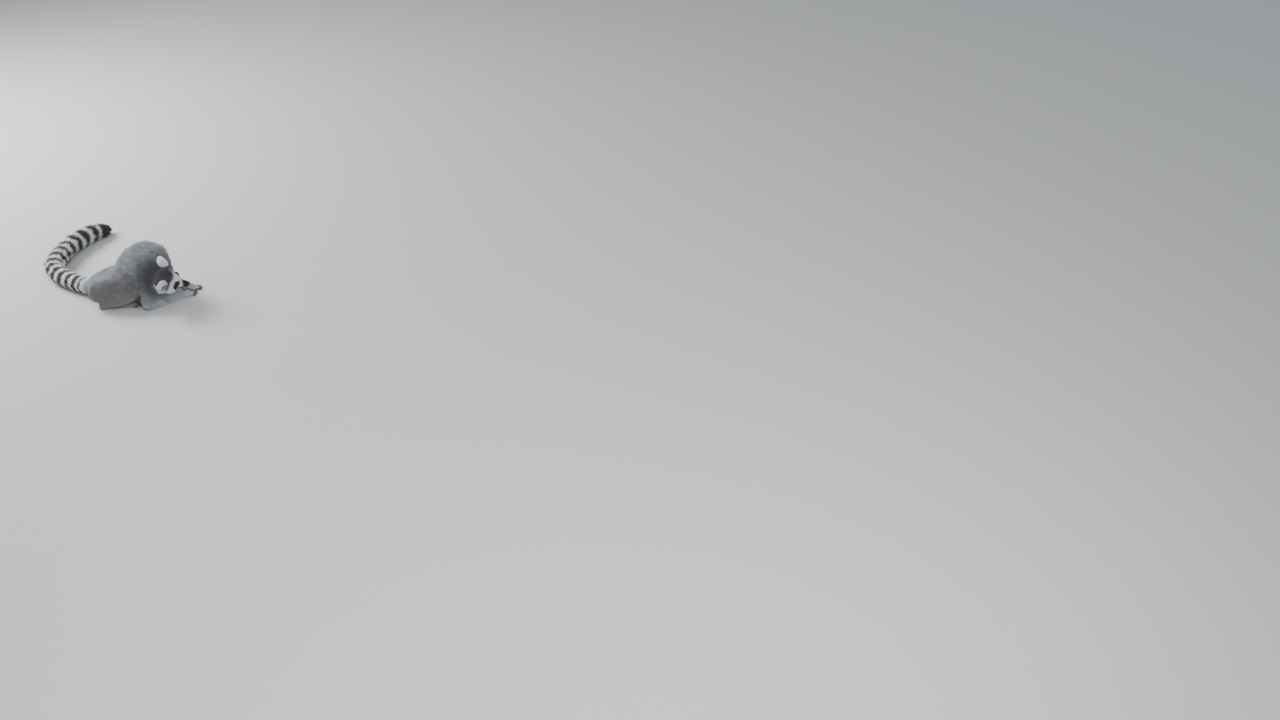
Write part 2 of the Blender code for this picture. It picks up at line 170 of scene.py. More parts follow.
def along(line, points):
    """How far along a line each point lies, in metres, and how far from it."""
    steps = np.diff(line, axis=0)
    lengths = np.linalg.norm(steps, axis=1)
    starts = marks_of(line)[:-1]
    best = np.full(len(points), np.inf)
    where = np.zeros(len(points))
    for start, step, length, point in zip(starts, steps, lengths, line):
        t = np.clip((points - point) @ step / length**2, 0, 1)
        away = np.linalg.norm(points - point - t[:, None] * step, axis=1)
        nearer = away < best
        best[nearer] = away[nearer]
        where[nearer] = (start + t * length)[nearer]
    return where, best


def resampled(line, count):
    """The same line as evenly spaced points, its corners rounded off."""
    for _ in range(3):
        line = np.concatenate([line[:1], (line[:-1] + line[1:]) / 2, line[-1:]])
    return on_line(line, np.linspace(0, marks_of(line)[-1], count))


TAIL_LINE = tail_line()
TAIL_LENGTH = float(marks_of(TAIL_LINE)[-1])
print("the tail is", round(TAIL_LENGTH, 3), "m long")

# %% [markdown]
# ## One skin
#
# The flesh nodes meet at thin gaps. Each is copied, its loose triangles are merged, and it is swollen
# by less than a millimetre so that the copies overlap. A voxel remesh then makes one closed surface of
# them. A smoothing that keeps the volume takes out the facets and the last trace of the cuts.

# %% Melt the flesh into one surface
SAME_PLACE = 0.01 * MM  # points nearer than this are one
SWELL = 0.5 * MM
FINE = 1.3 * MM  # the side of a voxel


def linked(name, data):
    """A new object for a mesh, a light or a camera, in the scene."""
    thing = bpy.data.objects.new(name, data)
    bpy.context.scene.collection.objects.link(thing)
    return thing


def object_of(name, bm):
    """A new object whose mesh is a bmesh, which is used up."""
    mesh = bpy.data.meshes.new(name)
    bm.to_mesh(mesh)
    bm.free()
    return linked(name, mesh)


def applied(thing):
    """Makes what an object's modifiers show its own mesh."""
    graph = bpy.context.evaluated_depsgraph_get()
    mesh = bpy.data.meshes.new_from_object(thing.evaluated_get(graph))
    thing.modifiers.clear()
    thing.data = mesh
    return thing


def numbers(collection, attribute, width):
    """One attribute of all points or corners of a mesh at once, as rows of some width."""
    values = np.empty(len(collection) * width, np.float32)
    collection.foreach_get(attribute, values)
    return values.reshape(-1, width).astype(float)


def melted_flesh():
    """One closed surface round the flesh nodes and the nose."""
    bm = bmesh.new()
    for name in (*FLESH, "nose"):
        bm.from_mesh(nodes[name].data)
    bmesh.ops.remove_doubles(bm, verts=bm.verts[:], dist=SAME_PLACE)
    bm.normal_update()
    for vertex in bm.verts:
        vertex.co += vertex.normal * SWELL
    thing = object_of("skin", bm)
    remesh = thing.modifiers.new("melt", "REMESH")
    remesh.mode = "VOXEL"
    remesh.voxel_size = FINE
    return applied(thing)


def flesh_tree():
    """A search tree over all flesh nodes, and the number of the node that each face belongs to."""
    points, faces, owner = [], [], []
    for number, name in enumerate(FLESH):
        mesh = nodes[name].data
        first = len(points)
        points += [v.co.copy() for v in mesh.vertices]
        faces += [[first + v for v in face.vertices] for face in mesh.polygons]
        owner += [number] * len(mesh.polygons)
    return BVHTree.FromPolygons(points, faces), np.array(owner)


TREE, OWNER = flesh_tree()


def owners(points):
    """The number of the flesh node nearest to each point."""
    return OWNER[[TREE.find_nearest(point)[2] for point in points]]


skin = melted_flesh()
print("melted:", len(skin.data.vertices), "vertices")

# %% [markdown]
# Fingers and ears need voxels of about a millimetre, but that is far more than a back under long fur
# needs. A coarser voxel would be the plain way to save, and would lose the fingers. So the Decimate
# modifier thins the mesh only where a vertex group says so, after a smoothing that is stronger there.

# %% Thin the mesh where the coat is long
FINE_NODES = {"head", *(f"{part}_{side}" for part in ("ear", "hand", "foot") for side in SIDES)}
BODY_SHARE = 0.17  # of the faces that the thinned part keeps
BODY_FROM = 0.95  # how far from the fine nodes, on a scale from 0 to 1, the thinned part starts
INWARD, OUTWARD = 0.60, -0.62  # the two halves of a round of smoothing
SMOOTHINGS = 26
LEAST_SMOOTHED = 0.15  # how much of the smoothing the fine nodes get


def edges_of(mesh):
    """The two points of every edge of a mesh."""
    values = np.empty(len(mesh.edges) * 2, np.int32)
    mesh.edges.foreach_get("vertices", values)
    return values.reshape(-1, 2)


def spread(values, edges, rounds, weight=1.0):
    """Averages values with their neighbours' along the edges, some rounds."""
    a, b = edges.T
    count = len(values)
    near = np.maximum(np.bincount(a, minlength=count) + np.bincount(b, minlength=count), 1)
    for _ in range(rounds):
        total = np.stack(
            [
                np.bincount(a, values[b, k], count) + np.bincount(b, values[a, k], count)
                for k in range(values.shape[1])
            ],
            1,
        )
        values = values + weight * (total / near[:, None] - values)
    return values


def smoothed(points, edges, rounds, weight):
    """Smooths a surface without shrinking it: each round in is followed by a slightly larger one out."""
    for _ in range(rounds):
        for step in (INWARD, OUTWARD):
            points = spread(points, edges, 1, step * weight)
    return points


def thinned(thing):
    """Smooths a mesh, and leaves it fewer faces away from the fine nodes."""
    points = numbers(thing.data.vertices, "co", 3)
    edges = edges_of(thing.data)
    owner = owners(points)
    fine = np.isin(owner, [FLESH.index(name) for name in FINE_NODES])[:, None].astype(float)
    coarse = 1 - spread(fine, edges, 3)
    points = smoothed(points, edges, SMOOTHINGS, LEAST_SMOOTHED + (1 - LEAST_SMOOTHED) * coarse**2)
    thing.data.vertices.foreach_set("co", points.astype(np.float32).ravel())
    body = coarse[:, 0] > BODY_FROM
    group = thing.vertex_groups.new(name="body")
    group.add(np.flatnonzero(body).tolist(), 1.0, "REPLACE")
    decimate = thing.modifiers.new("thin", "DECIMATE")
    decimate.vertex_group = "body"
    decimate.use_collapse_triangulate = True
    decimate.ratio = BODY_SHARE + (1 - BODY_SHARE) * float((~body).mean())
    applied(thing)
    thing.vertex_groups.clear()
    bm = bmesh.new()
    bm.from_mesh(thing.data)
    bmesh.ops.triangulate(bm, faces=bm.faces[:])
    bm.to_mesh(thing.data)
    bm.free()
    return thing


thinned(skin)
print("thinned:", len(skin.data.vertices), "vertices,", len(skin.data.polygons), "faces")

# %% [markdown]
# The face needs smaller triangles than the back, because lids, lips and the edge of the nose are only a
# few millimetres wide. Remeshing the whole skin more finely would be the plain way, but it would
# quadruple the mesh where nothing shows. Here only the edges of the front of the head are halved.

# %% Refine the mesh of the face
FACE_START, FACE_BLEND = 0.016, 0.004  # how far forward in the head the finer mesh starts


def refined(thing):
    """Halves every edge of the front of the head, so that lids and lips keep a clean shape."""
    bm = bmesh.new()
    bm.from_mesh(thing.data)
    places = numbers(thing.data.vertices, "co", 3)
    ahead = (in_head(places)[:, 0] > FACE_START) & (owners(places) == FLESH.index("head"))
    bm.verts.ensure_lookup_table()
    edges = [edge for edge in bm.edges if ahead[edge.verts[0].index] and ahead[edge.verts[1].index]]
    bmesh.ops.subdivide_edges(bm, edges=edges, cuts=1, use_grid_fill=True, smooth=0.0)
    bmesh.ops.triangulate(bm, faces=bm.faces[:])
    bm.to_mesh(thing.data)
    bm.free()


def moved_to(places):
    """Puts the points of the skin at new places, and gives their new normals."""
    skin.data.vertices.foreach_set("co", places.astype(np.float32).ravel())
    skin.data.update()
    return numbers(skin.data.vertices, "normal", 3)


refined(skin)
points = numbers(skin.data.vertices, "co", 3)
ahead = eased(FACE_START, FACE_START + FACE_BLEND, in_head(points)[:, :1])
points = points + (smoothed(points, edges_of(skin.data), 4, 0.8) - points) * ahead
moved_to(points)
print("refined:", len(skin.data.vertices), "vertices,", len(skin.data.polygons), "faces")

# %% [markdown]
# ## How the coat differs over the body
#
# A lemur's fur is woolly and long on the back and tail, short on the arms and legs, and close to the
# skin on the face, hands and feet. Each node states its own kind of coat. The numbers are then
# averaged over the skin, so that one kind passes into the next.

# %% The kinds of coat
# Depth and length of the coat and width of a lock in millimetres, the lift of a lock in degrees, and
# how many locks grow on a square centimetre.
COAT = {
    "head": (2.2, 8.0, 1.1, 25, 75),
    "neck": (6.5, 16.0, 1.7, 27, 38),
    "trunk": (7.5, 19.0, 1.9, 26, 32),
    "upper_arm": (5.5, 15.0, 1.6, 24, 34),
    "forearm": (3.8, 10.0, 1.3, 21, 42),
    "hand": (0.8, 2.8, 0.7, 15, 125),
    "thigh": (6.0, 16.0, 1.8, 24, 34),
    "shank": (4.6, 12.0, 1.4, 21, 42),
    "foot": (0.8, 3.0, 0.7, 15, 112),
    "ear": (0.7, 5.0, 0.8, 24, 130),
    "tail": (13.0, 26.0, 2.1, 42, 40),
}
DEPTH, LENGTH, WIDTH, LIFT, CROWD = range(5)
COAT_BLEND = 26  # rounds of averaging, each over about one edge of the mesh
# What a place adds to each of those five numbers or takes from it, as a share of it.
ON_FACE = (-0.55, -0.66, -0.40, 0, 0.60)
ON_TAIL_TIP = (0, -0.30, 0, 0, 0)
ON_TAIL_ROOT = (0, -0.42, -0.15, -0.28, 0)
ON_HEEL = (0, 1.1, 0.4, 0, -0.2)
IN_EAR = (0, 0, 0, 0, -0.72)
ON_EAR_RIM = (0, 0.75, 0, 0.25, 0)
ON_DIGIT_TIP = (0, -0.35, 0, 0, -0.45)
NEAR_EYE = (0, -0.45, 0, -0.35, 0)
HAIRLESS = (0, 0, 0, 0, -1)
FACE_FADE = (0.010, 0.042)  # how far forward in the head the face starts and is full
TIP_FADE, ROOT_FADE = (0.90, 1.0), (0.12, 0.55)  # shares of the tail: its tip comes in, its root fades
HEEL_FADE = (0.022, 0.004)  # how far before the end of the heel the longer fur starts and is full


def two(part):
    """The two nodes of a part that comes in pairs."""
    return [f"{part}_{side}" for side in SIDES]


def kind(name):
    """The kind of coat of a node: its name without its side or number."""
    for end in ("_left", "_right", "_1", "_2", "_3", "_4", "_5"):
        name = name.removesuffix(end)
    return name


edges = edges_of(skin.data)
points = numbers(skin.data.vertices, "co", 3)
owner = owners(points)
traits = spread(np.array([COAT[kind(name)] for name in FLESH], float)[owner], edges, COAT_BLEND)
face = eased(*FACE_FADE, in_head(points)[:, 0]) * (owner == FLESH.index("head"))
traits *= 1 + np.outer(face, ON_FACE)
tail_place, _ = along(TAIL_LINE, points)
tail_tip = eased(*TIP_FADE, tail_place / TAIL_LENGTH) * (owner == FLESH.index("tail_5"))
tail_start = 1 - eased(*ROOT_FADE, tail_place / TAIL_LENGTH)
tail_root = tail_start * np.isin(owner, [FLESH.index(name) for name in TAILS])
traits *= 1 + np.outer(tail_tip, ON_TAIL_TIP) + np.outer(tail_root, ON_TAIL_ROOT)


def behind_shoulders(places):
    """How far back of the shoulders each place lies."""
    return (places - np.array(shoulders)) @ np.array(BACKWARD)


# The fur of the haunch runs down over the heels.
back = behind_shoulders(points)
heels = np.zeros(len(points))
for side in SIDES:
    on_foot = owner == FLESH.index(f"foot_{side}")
    heels += eased(*HEEL_FADE, back[on_foot].max() - back) * on_foot
traits *= 1 + np.outer(heels, ON_HEEL)
print("locks are", traits[:, LENGTH].min().round(1), "to", traits[:, LENGTH].max().round(1), "mm long")

# %% [markdown]
# The solids reach to the tips of the coat, and the flesh lies deeper. A Displace modifier could draw
# the mesh in along its normals, but the coat of the tail is so deep that normals would cross there. So
# it is done with arrays: along the normals on the body, and towards the middle line on the tail.

# %% Draw the skin in by the depth of the coat
TAIL_CORE = 0.52  # share of the tail's radius that is flesh and bone
ROOT_CORE = 0.20  # how much more it is at the root


def on_nodes(names, rounds):
    """1 on the skin of the nodes named and 0 elsewhere, blurred over some rounds."""
    member = np.isin(owner, [FLESH.index(name) for name in names]).astype(float)
    return spread(member[:, None], edges, rounds)[:, 0]


normals = numbers(skin.data.vertices, "normal", 3)
tail_share = on_nodes(TAILS, 10)[:, None]
core = on_line(TAIL_LINE, tail_place)
drawn = points - normals * traits[:, DEPTH : DEPTH + 1] * MM
tail_drawn = core + (points - core) * (TAIL_CORE + ROOT_CORE * tail_start)[:, None]
points = drawn * (1 - tail_share) + tail_drawn * tail_share
normals = moved_to(points)
print("skin box", points.min(0).round(3), points.max(0).round(3))

# %% [markdown]
# Drawing the skin in by the coat's depth also shrinks the face away from the eyes, which keep their
# place. So the flesh round each eye is raised again into a low ring, the orbit, on which the lids can
# lie. Each point near an eye is pushed straight out from the eye's middle.

# %% Raise the flesh round the eyes
EYES = {side: middle(f"eye_{side}") for side in SIDES}
EYE_RADIUS = (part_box("eye_left")[1].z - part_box("eye_left")[0].z) / 2
GAZE_OUT, GAZE_UP = math.radians(30), math.radians(4)
ORBIT_START, ORBIT_FULL, ORBIT_END = (math.radians(angle) for angle in (44, 72, 125))
ORBIT_RISE, ORBIT_GAP = 1.7 * MM, 0.4 * MM


def eye_place(side):
    """The matrix from an eye's own frame, +Z its gaze and +Y up, to the model's."""
    outward = 1 if side == "left" else -1
    gaze = Vector((math.cos(GAZE_OUT), outward * math.sin(GAZE_OUT), math.sin(GAZE_UP)))
    gaze = (HEAD.to_3x3() @ gaze).normalized()
    up = HEAD.to_3x3() @ Vector((0, 0, 1))
    across = up.cross(gaze).normalized()
    turn = Matrix((across, gaze.cross(across), gaze)).transposed().to_4x4()
    return Matrix.Translation(EYES[side]) @ turn


for side in SIDES:
    place = eye_place(side)
    turn, centre = np.array(place.to_3x3()), np.array(place.translation)
    local = (points - centre) @ turn
    distance = np.linalg.norm(local, axis=1)
    angle = np.arccos(np.clip(local[:, 2] / distance, -1, 1))
    rise = eased(ORBIT_START, ORBIT_FULL, angle) * (1 - eased(ORBIT_FULL, ORBIT_END, angle))
    wanted = EYE_RADIUS + ORBIT_GAP + ORBIT_RISE * rise
    near = (distance < EYE_RADIUS + ORBIT_RISE) & (angle > ORBIT_START) & (angle < ORBIT_END)
    raised = centre + (local * (np.maximum(wanted, distance) / distance)[:, None]) @ turn.T
    points[near] = raised[near]
    print("raised the flesh round the", side, "eye at", int(near.sum()), "points")
normals = moved_to(points)

# %% [markdown]
# The nose pad is a piece of its own that sits in the end of the muzzle. A pad laid on top would look
# like a button, so the skin under it is pulled back towards the pad's middle, and no hair grows there.

# %% Room for the nose
NOSE, NOSE_REACH = middle("nose"), 9 * MM
PAD_EDGE = math.radians(64)  # from the pad's own axis to the first hairs
PAD_INNER, PAD_OUTER = 0.14, 0.02  # radians within which the pull fades, inside that edge and outside
PULLED_IN = 0.55  # how far the skin under the pad goes towards its middle
local = in_head(points) - in_head(np.array(NOSE))
nose_distance = np.linalg.norm(local, axis=1)
from_axis = np.arccos(np.clip(local[:, 0] / np.maximum(nose_distance, 1e-9), -1, 1))
pulled = 1 - eased(PAD_EDGE - PAD_INNER, PAD_EDGE + PAD_OUTER, from_axis)
under_pad = pulled * (nose_distance < NOSE_REACH)
points += (np.array(NOSE) - points) * (PULLED_IN * under_pad)[:, None]
normals = moved_to(points)
traits[:, CROWD] *= 1 - (from_axis < PAD_EDGE) * (nose_distance < NOSE_REACH)
print("the pad covers", int((under_pad > 0.5).sum()), "points")

# %% [markdown]
# The mouth is shut, so it is only a line. It could be cut into the mesh, but a shallow groove is enough:
# points near the line are pushed in along their normals, and the fur leaves the lips bare.

# %% The line of the mouth
LIP_LINE = (  # in the head's own frame, from under the nose to the corner of the mouth
    (0.0640, 0.0, -0.0185),
    (0.0520, 0.0078, -0.0192),
    (0.0360, 0.0120, -0.0176),
    (0.0250, 0.0152, -0.0148),
)
LIP_DEPTH, LIP_REACH = 1.2 * MM, 9 * MM
GROOVE_FADE, LIP_FADE = (0.2 * MM, 1.9 * MM), (0.5 * MM, 1.3 * MM)  # their walls, from the line outwards
LIP_STEPS, CHUNKS = 90, 20
MOUTH_START = 0.018  # how far forward in the head the mouth can be


def from_lips():
    """How far each point of the skin lies from the line of the mouth, measured along the skin."""
    found = np.full(len(points), 1.0)
    local, local_normals = in_head(points), normals @ HEAD_AXES
    on_head = owner == FLESH.index("head")
    close = np.flatnonzero((local[:, 0] > MOUTH_START) & (local[:, 2] < 0) & on_head)
    for side in (1, -1):
        line = resampled(np.array(LIP_LINE) * (1, side, 1), LIP_STEPS)
        for chunk in np.array_split(close, CHUNKS):
            away = local[chunk, None, :] - line[None]
            facing = local_normals[chunk, None, :]
            height = (away * facing).sum(2)
            flat = np.linalg.norm(away - height[..., None] * facing, axis=2)
            flat[abs(height) > LIP_REACH] = 1.0
            found[chunk] = np.minimum(found[chunk], flat.min(1))
    return found


lip_distance = from_lips()
groove = 1 - eased(*GROOVE_FADE, lip_distance)
lips = 1 - eased(*LIP_FADE, lip_distance)
points -= normals * (groove * LIP_DEPTH)[:, None]
normals = moved_to(points)
print("mouth drawn on", int((lips > 0.5).sum()), "points")

# %% [markdown]
# An ear is a cupped leaf. Its back and rim carry pale fur, longest at the rim, and its hollow is nearly
# bare skin. To tell the three apart, each point is read in the ear's own frame. The numbers that place
# the frame are the ones from which the solid was made.

# %% The hollow of each ear
EAR_FOOT = {"left": Vector((-0.0080, 0.0310, 0.0125)), "right": Vector((-0.0060, -0.0300, 0.0120))}
EAR_LEAN = {"left": math.radians(24), "right": math.radians(33)}
EAR_BACK = {"left": math.radians(20), "right": math.radians(30)}
EAR_OUTWARD = {"left": math.radians(45), "right": math.radians(20)}
EAR_MIDDLE, EAR_HALF = np.array((0.0, 0.0, 0.0190)), np.array((0.0098, 0.0165, 0.0215))
EAR_EMERGES = {"left": (0.0110, 0.0175), "right": (0.0040, 0.0100)}  # where the dark fur gives way
HOLLOW_MIDDLE, HOLLOW_HALF = np.array((0.0100, 0.0, 0.0205)), np.array((0.0124, 0.0116, 0.0155))
# In half sizes of the hollow and of the ear, where each place starts and ends.
HOLLOW_FADE, CENTRE_FADE, RIM_FADE = (0.98, 1.16), (0.45, 0.80), (0.66, 0.86)
RIM_START = (0.004, 0.014)  # how far up the ear its rim starts


def in_ear(side):
    """Points of the skin in an ear's own frame: +X out of its hollow and +Z towards its tip."""
    out = 1 if side == "left" else -1
    place = (
        HEAD
        @ Matrix.Translation(EAR_FOOT[side])
        @ Matrix.Rotation(-out * EAR_LEAN[side], 4, "X")
        @ Matrix.Rotation(-EAR_BACK[side], 4, "Y")
        @ Matrix.Rotation(out * EAR_OUTWARD[side], 4, "Z")
    )
    return (points - np.array(place.translation)) @ np.array(place.to_3x3())


ear_hollow, ear_rim, ear_base = np.zeros((3, len(points)))
for side in SIDES:
    here = owner == FLESH.index(f"ear_{side}")
    local = in_ear(side)
    within = np.linalg.norm((local - HOLLOW_MIDDLE) / HOLLOW_HALF, axis=1)
    out = np.linalg.norm(((local - EAR_MIDDLE) / EAR_HALF)[:, 1:], axis=1)
    ear_hollow += here * (1 - eased(*HOLLOW_FADE, within)) * (1 - eased(*CENTRE_FADE, out))
    ear_rim += here * eased(*RIM_FADE, out) * eased(*RIM_START, local[:, 2])
    ear_base += here * (1 - eased(*EAR_EMERGES[side], local[:, 2]))
traits *= 1 + np.outer(ear_hollow, IN_EAR)
traits *= 1 + np.outer(ear_rim, ON_EAR_RIM)
print("hollow of the ears on", int((ear_hollow > 0.5).sum()), "points")

# %% [markdown]
# Fingers and toes end in dark bare skin with a nail. The solid hands are single pieces, so nothing in
# the frame says where each digit ends. It is worked out again from the numbers of each digit.

# %% Where the digits end
BODY = Matrix.Translation((0.0795, -0.1796, 0)) @ Matrix.Rotation(math.radians(20), 4, "Z")
HANDS = {"right": ((0.137, -0.045, 0), 22), "left": ((0.155, 0.016, 0), -30)}
FEET = {"right": ((-0.018, -0.050, 0), -8), "left": ((-0.021, 0.051, 0), -2)}
# For each digit: its root, how far it splays in degrees, its length and its radius.
FINGERS = (
    ((-0.0040, 0.0090), 58, 0.022, 0.0040),
    ((0.0160, 0.0085), 14, 0.024, 0.0037),
    ((0.0190, 0.0030), 3, 0.029, 0.0038),
    ((0.0180, -0.0032), -6, 0.028, 0.0038),
    ((0.0140, -0.0090), -17, 0.024, 0.0036),
)
TOES = (
    ((-0.0120, 0.0080), 46, 0.030, 0.0048),
    ((0.0040, 0.0085), 10, 0.026, 0.0038),
    ((0.0070, 0.0030), 2, 0.030, 0.0039),
    ((0.0060, -0.0032), -6, 0.032, 0.0039),
    ((0.0020, -0.0090), -14, 0.027, 0.0037),
)
SECOND = 1  # the number of the second digit
TIP_REACH = (5 * MM, 10 * MM)  # how far the dark end of a digit reaches from the middle of its tip


def digit_ends():
    """For each digit: whether it grooms, its tip and its direction on the floor, and its radius."""
    for digits, places in ((FINGERS, HANDS), (TOES, FEET)):
        for side, (spot, turn) in places.items():
            mirror = Matrix.Diagonal((1, 1 if side == "right" else -1, 1, 1))
            turned = Matrix.Rotation(math.radians(turn), 4, "Z")
            place = BODY @ Matrix.Translation(spot) @ turned @ mirror
            for number, ((x, y), splay, length, radius) in enumerate(digits):
                way = Vector((math.cos(math.radians(splay)), math.sin(math.radians(splay)), 0))
                tip = place @ (Vector((x, y, 0)) + way * length)
                grooms = digits is TOES and number == SECOND
                yield grooms, tip, (place.to_3x3() @ way).normalized(), radius


tips = np.zeros(len(points))
on_digits = on_nodes(two("hand") + two("foot"), 0) > 0.5
for _, tip, way, radius in digit_ends():
    place = tip - way * radius * 0.5 + Vector((0, 0, radius))
    near_tip = 1 - eased(*TIP_REACH, np.linalg.norm(points - np.array(place), axis=1))
    tips = np.maximum(tips, near_tip * on_digits)
traits *= 1 + np.outer(tips, ON_DIGIT_TIP)
print("tips of", len(list(digit_ends())), "digits")

# %% [markdown]
# No hair grows in the eyes, on the lips or on the palms and soles. Round the eyes it is short and lies
# close, so that it doesn't hide them. Palms and soles are told by facing down.

# %% Bare places
BARE_ROUND_EYE = (0.9 * MM, 1.5 * MM)  # from the edge of an eye to the first hair, and to the full coat
SHORT_ROUND_EYE = (1 * MM, 9 * MM)
PALM_FACING = (0.35, 0.7)  # how far down the skin faces where a palm starts and is full


def near_eye(distance):
    """1 at the edge of an eye and 0 from some millimetres off, for distances from its middle."""
    start, end = SHORT_ROUND_EYE
    return 1 - eased(EYE_RADIUS + start, EYE_RADIUS + end, distance)


for eye in EYES.values():
    distance = np.linalg.norm(points - np.array(eye), axis=1)
    traits[:, CROWD] *= eased(*(EYE_RADIUS + reach for reach in BARE_ROUND_EYE), distance)
    traits *= 1 + np.outer(near_eye(distance), NEAR_EYE)
traits *= 1 + np.outer(lips, HAIRLESS)
palms = on_nodes(two("hand") + two("foot"), 1) * eased(*PALM_FACING, -normals[:, 2])
traits *= 1 + np.outer(palms, HAIRLESS)
print("eyes", round(EYE_RADIUS * 2 / MM, 1), "mm across")
print("bare palms on", int((palms > 0.5).sum()), "points")

# %% [markdown]
# Each node has one direction for its coat, but fur flows. So the directions are laid flat on the skin
# and averaged with their neighbours' many times, which makes streams that run from node to node. On
# the head the fur leads away from the nose, on the tail along its line, and over a heel straight down.

# %% The lie of the coat on every point of the skin
def on_surface(vectors):
    """Vectors laid flat on the skin, each one metre long."""
    flat = vectors - normals * (vectors * normals).sum(1, keepdims=True)
    return flat / np.maximum(np.linalg.norm(flat, axis=1, keepdims=True), 1e-9)


DOWN_HEEL = np.array((0, 0, -1.5))  # the pull of the coat down over a heel
FROM_EYE = 1.5  # the pull of the coat away from an eye
FLOW = 14  # rounds of averaging
TAIL_STEP = 10 * MM  # the direction of the tail is read this far ahead and behind


def lie_of_coat():
    """The way the coat lies on each point of the skin."""
    lie = np.zeros_like(points)
    for number, name in enumerate(FLESH):
        here = owner == number
        if name == "head":
            lie[here] = points[here] - np.array(NOSE)
        elif name in TAILS:
            steps = (TAIL_STEP, -TAIL_STEP)
            ahead, behind = (on_line(TAIL_LINE, tail_place[here] + step) for step in steps)
            lie[here] = ahead - behind
        else:
            lie[here] = LIE[name]
    over_heels = heels[:, None]
    lie = on_surface(on_surface(lie) * (1 - over_heels) + DOWN_HEEL * over_heels)
    for _ in range(FLOW):
        lie = on_surface(spread(lie, edges, 1))
    for eye in EYES.values():
        away = points - np.array(eye)
        distance = np.linalg.norm(away, axis=1, keepdims=True)
        near = near_eye(distance)
        lie = on_surface(lie * (1 - near) + away / distance * near * FROM_EYE)
    return lie


lie = lie_of_coat()
print("the coat lies along", len(lie), "directions")

# %% [markdown]
# ## Markings and painted shade
#
# The coat's pattern is one colour for each point of the skin, worked out from where that point is: on
# which limb, how far along the tail, or where in the head's own frame. Painted shade is part of it: on
# the haunch, and over the darker fur of the nape and round the foot of each ear. Skin and coat both
# read it from an attribute, so that they agree everywhere.

# %% Colours of the coat
BACK = np.array((0.425, 0.436, 0.456))
# The hind legs' grey, darkened with painted shade: the near side of the haunch faces away from the main
# light.
SHADED_HAUNCH = np.array((0.240, 0.232, 0.228))
LIMB = np.array((0.450, 0.452, 0.460))
EAR_SKIN = np.array((0.300, 0.240, 0.235))
TIP_SKIN = np.array((0.130, 0.115, 0.115))
PALE = np.array((0.940, 0.940, 0.940))
CROWN = np.array((0.076, 0.073, 0.085))
# The nape's own darker grey, with painted shade added: the side of the neck that faces away from the main
# light.
SHADED_NAPE = np.array((0.080, 0.078, 0.088))
DARK = np.array((0.014, 0.013, 0.015))
NODE_COLOUR = {
    "head": PALE,
    # The neck takes some of the nape's colour, with its painted shade.
    "neck": BACK * 0.6 + SHADED_NAPE * 0.4,
    "trunk": BACK,
    "upper_arm": BACK * 0.35 + LIMB * 0.65,
    "forearm": LIMB,
    "hand": LIMB * 1.1,
    # The hind legs carry the haunch's painted shade, a little lighter towards the feet.
    "thigh": SHADED_HAUNCH,
    "shank": SHADED_HAUNCH * 1.15,
    "foot": SHADED_HAUNCH * 1.3,
    "ear": PALE,
    "tail": BACK,
}
LEGS = [name for part in ("thigh", "shank", "foot") for name in two(part)]
RINGS = 13
FIRST_RING, LAST_RING = 0.10, 0.93  # shares of the tail's length between which the rings lie
RING_GROWTH = 1.25  # above 1 the rings grow longer towards the tip
RING_BLUR, RING_BALANCE = 0.20, 0.32  # how soft their edges are, and how much broader the dark ones
GREY_ROOT = (0.06, 0.09)  # shares of the tail between which the grey of the root gives way
TIP_HOLD = 0.40  # how far a lock still follows the rings under it, from 0 to 1
RING_JITTER = 1.6 * MM  # how far a lock strays from its ring
COLOUR_BLEND, LEG_BLEND = 18, 8  # rounds of averaging
BELLY_FACING = (0.45, 0.85)  # how far down the skin faces where the pale belly starts and is full
BELLY_PALE, LEG_GREY = 0.9, 0.75  # how pale the belly is, and how much of that the legs lack
# Places and sizes in the head's own frame.
# Where the nape darkens towards the head, with its own darker fur and painted shade.
NAPE_MIDDLE, NAPE_START, NAPE_END = (-0.030, 0, 0.014), 0.094, 0.030
PATCH_MIDDLE = (0.0265, 0.0175, 0.0040)
PATCH_HALF = (0.0128, 0.0122, 0.0122)
PATCH_EDGE = (0.90, 1.10)  # where it fades, in half sizes
TO_CHEEK, TO_BROW = 0.42, 0.16  # how far it is drawn out towards each, as a share
CAP_EDGE, CAP_SLOPE = (0.0080, 0.0150), 0.55  # how high the dark cap starts, and how it rises forward
CAP_SIDE = (0.034, 0.038)  # how far from the middle it ends
EAR_SHADE = (0.012, 0.021)  # how far the dark fur and the painted shade of the recess reach round the foot of an ear
SHADE_DEPTH, BASE_DEPTH, BARE_DEPTH = 0.85, 0.9, 0.85  # how dark that, an ear's base and palms are
MUZZLE = (0.041, 0.050)  # how far forward the dark end of the muzzle starts and is full


def mixed(base, colour, amount):
    """Colours moved towards another by an amount from 0 to 1 on each point."""
    return base + (colour - base) * amount[:, None]


def ringed(where):
    """How dark the tail is, from 0 to 1, at distances along it."""
    t = (where / TAIL_LENGTH - FIRST_RING) / (LAST_RING - FIRST_RING)
    turn = np.where(t > 0, np.clip(t, 0, 1) ** (1 / RING_GROWTH), 0) * RINGS
    dark = eased(-RING_BLUR, RING_BLUR, RING_BALANCE - np.cos(2 * math.pi * turn))
    return np.where(t > 1, 1.0, np.where(t < 0, 0.0, dark))


def tail_colours(base, where):
    """The tail's colours at distances along it: grey like the back at its root, then ringed."""
    dark = ringed(where)[..., None]
    started = eased(*GREY_ROOT, where / TAIL_LENGTH)[..., None]
    return base * (1 - started) + (PALE * (1 - dark) + DARK * dark) * started


def ring_colours(base, places):
    """Colours of locks of the tail, point by point, so that the rings keep their edges in long fur."""
    count, each = places.shape[:2]
    where = along(TAIL_LINE, places.reshape(-1, 3))[0].reshape(count, each)
    tip = where.max(1, keepdims=True)  # a real hair has one colour: most of a lock takes its tip's
    where = tip + TIP_HOLD * (where - tip) + rng.normal(0, RING_JITTER, (count, 1))
    return tail_colours(base[:, None, :], where)


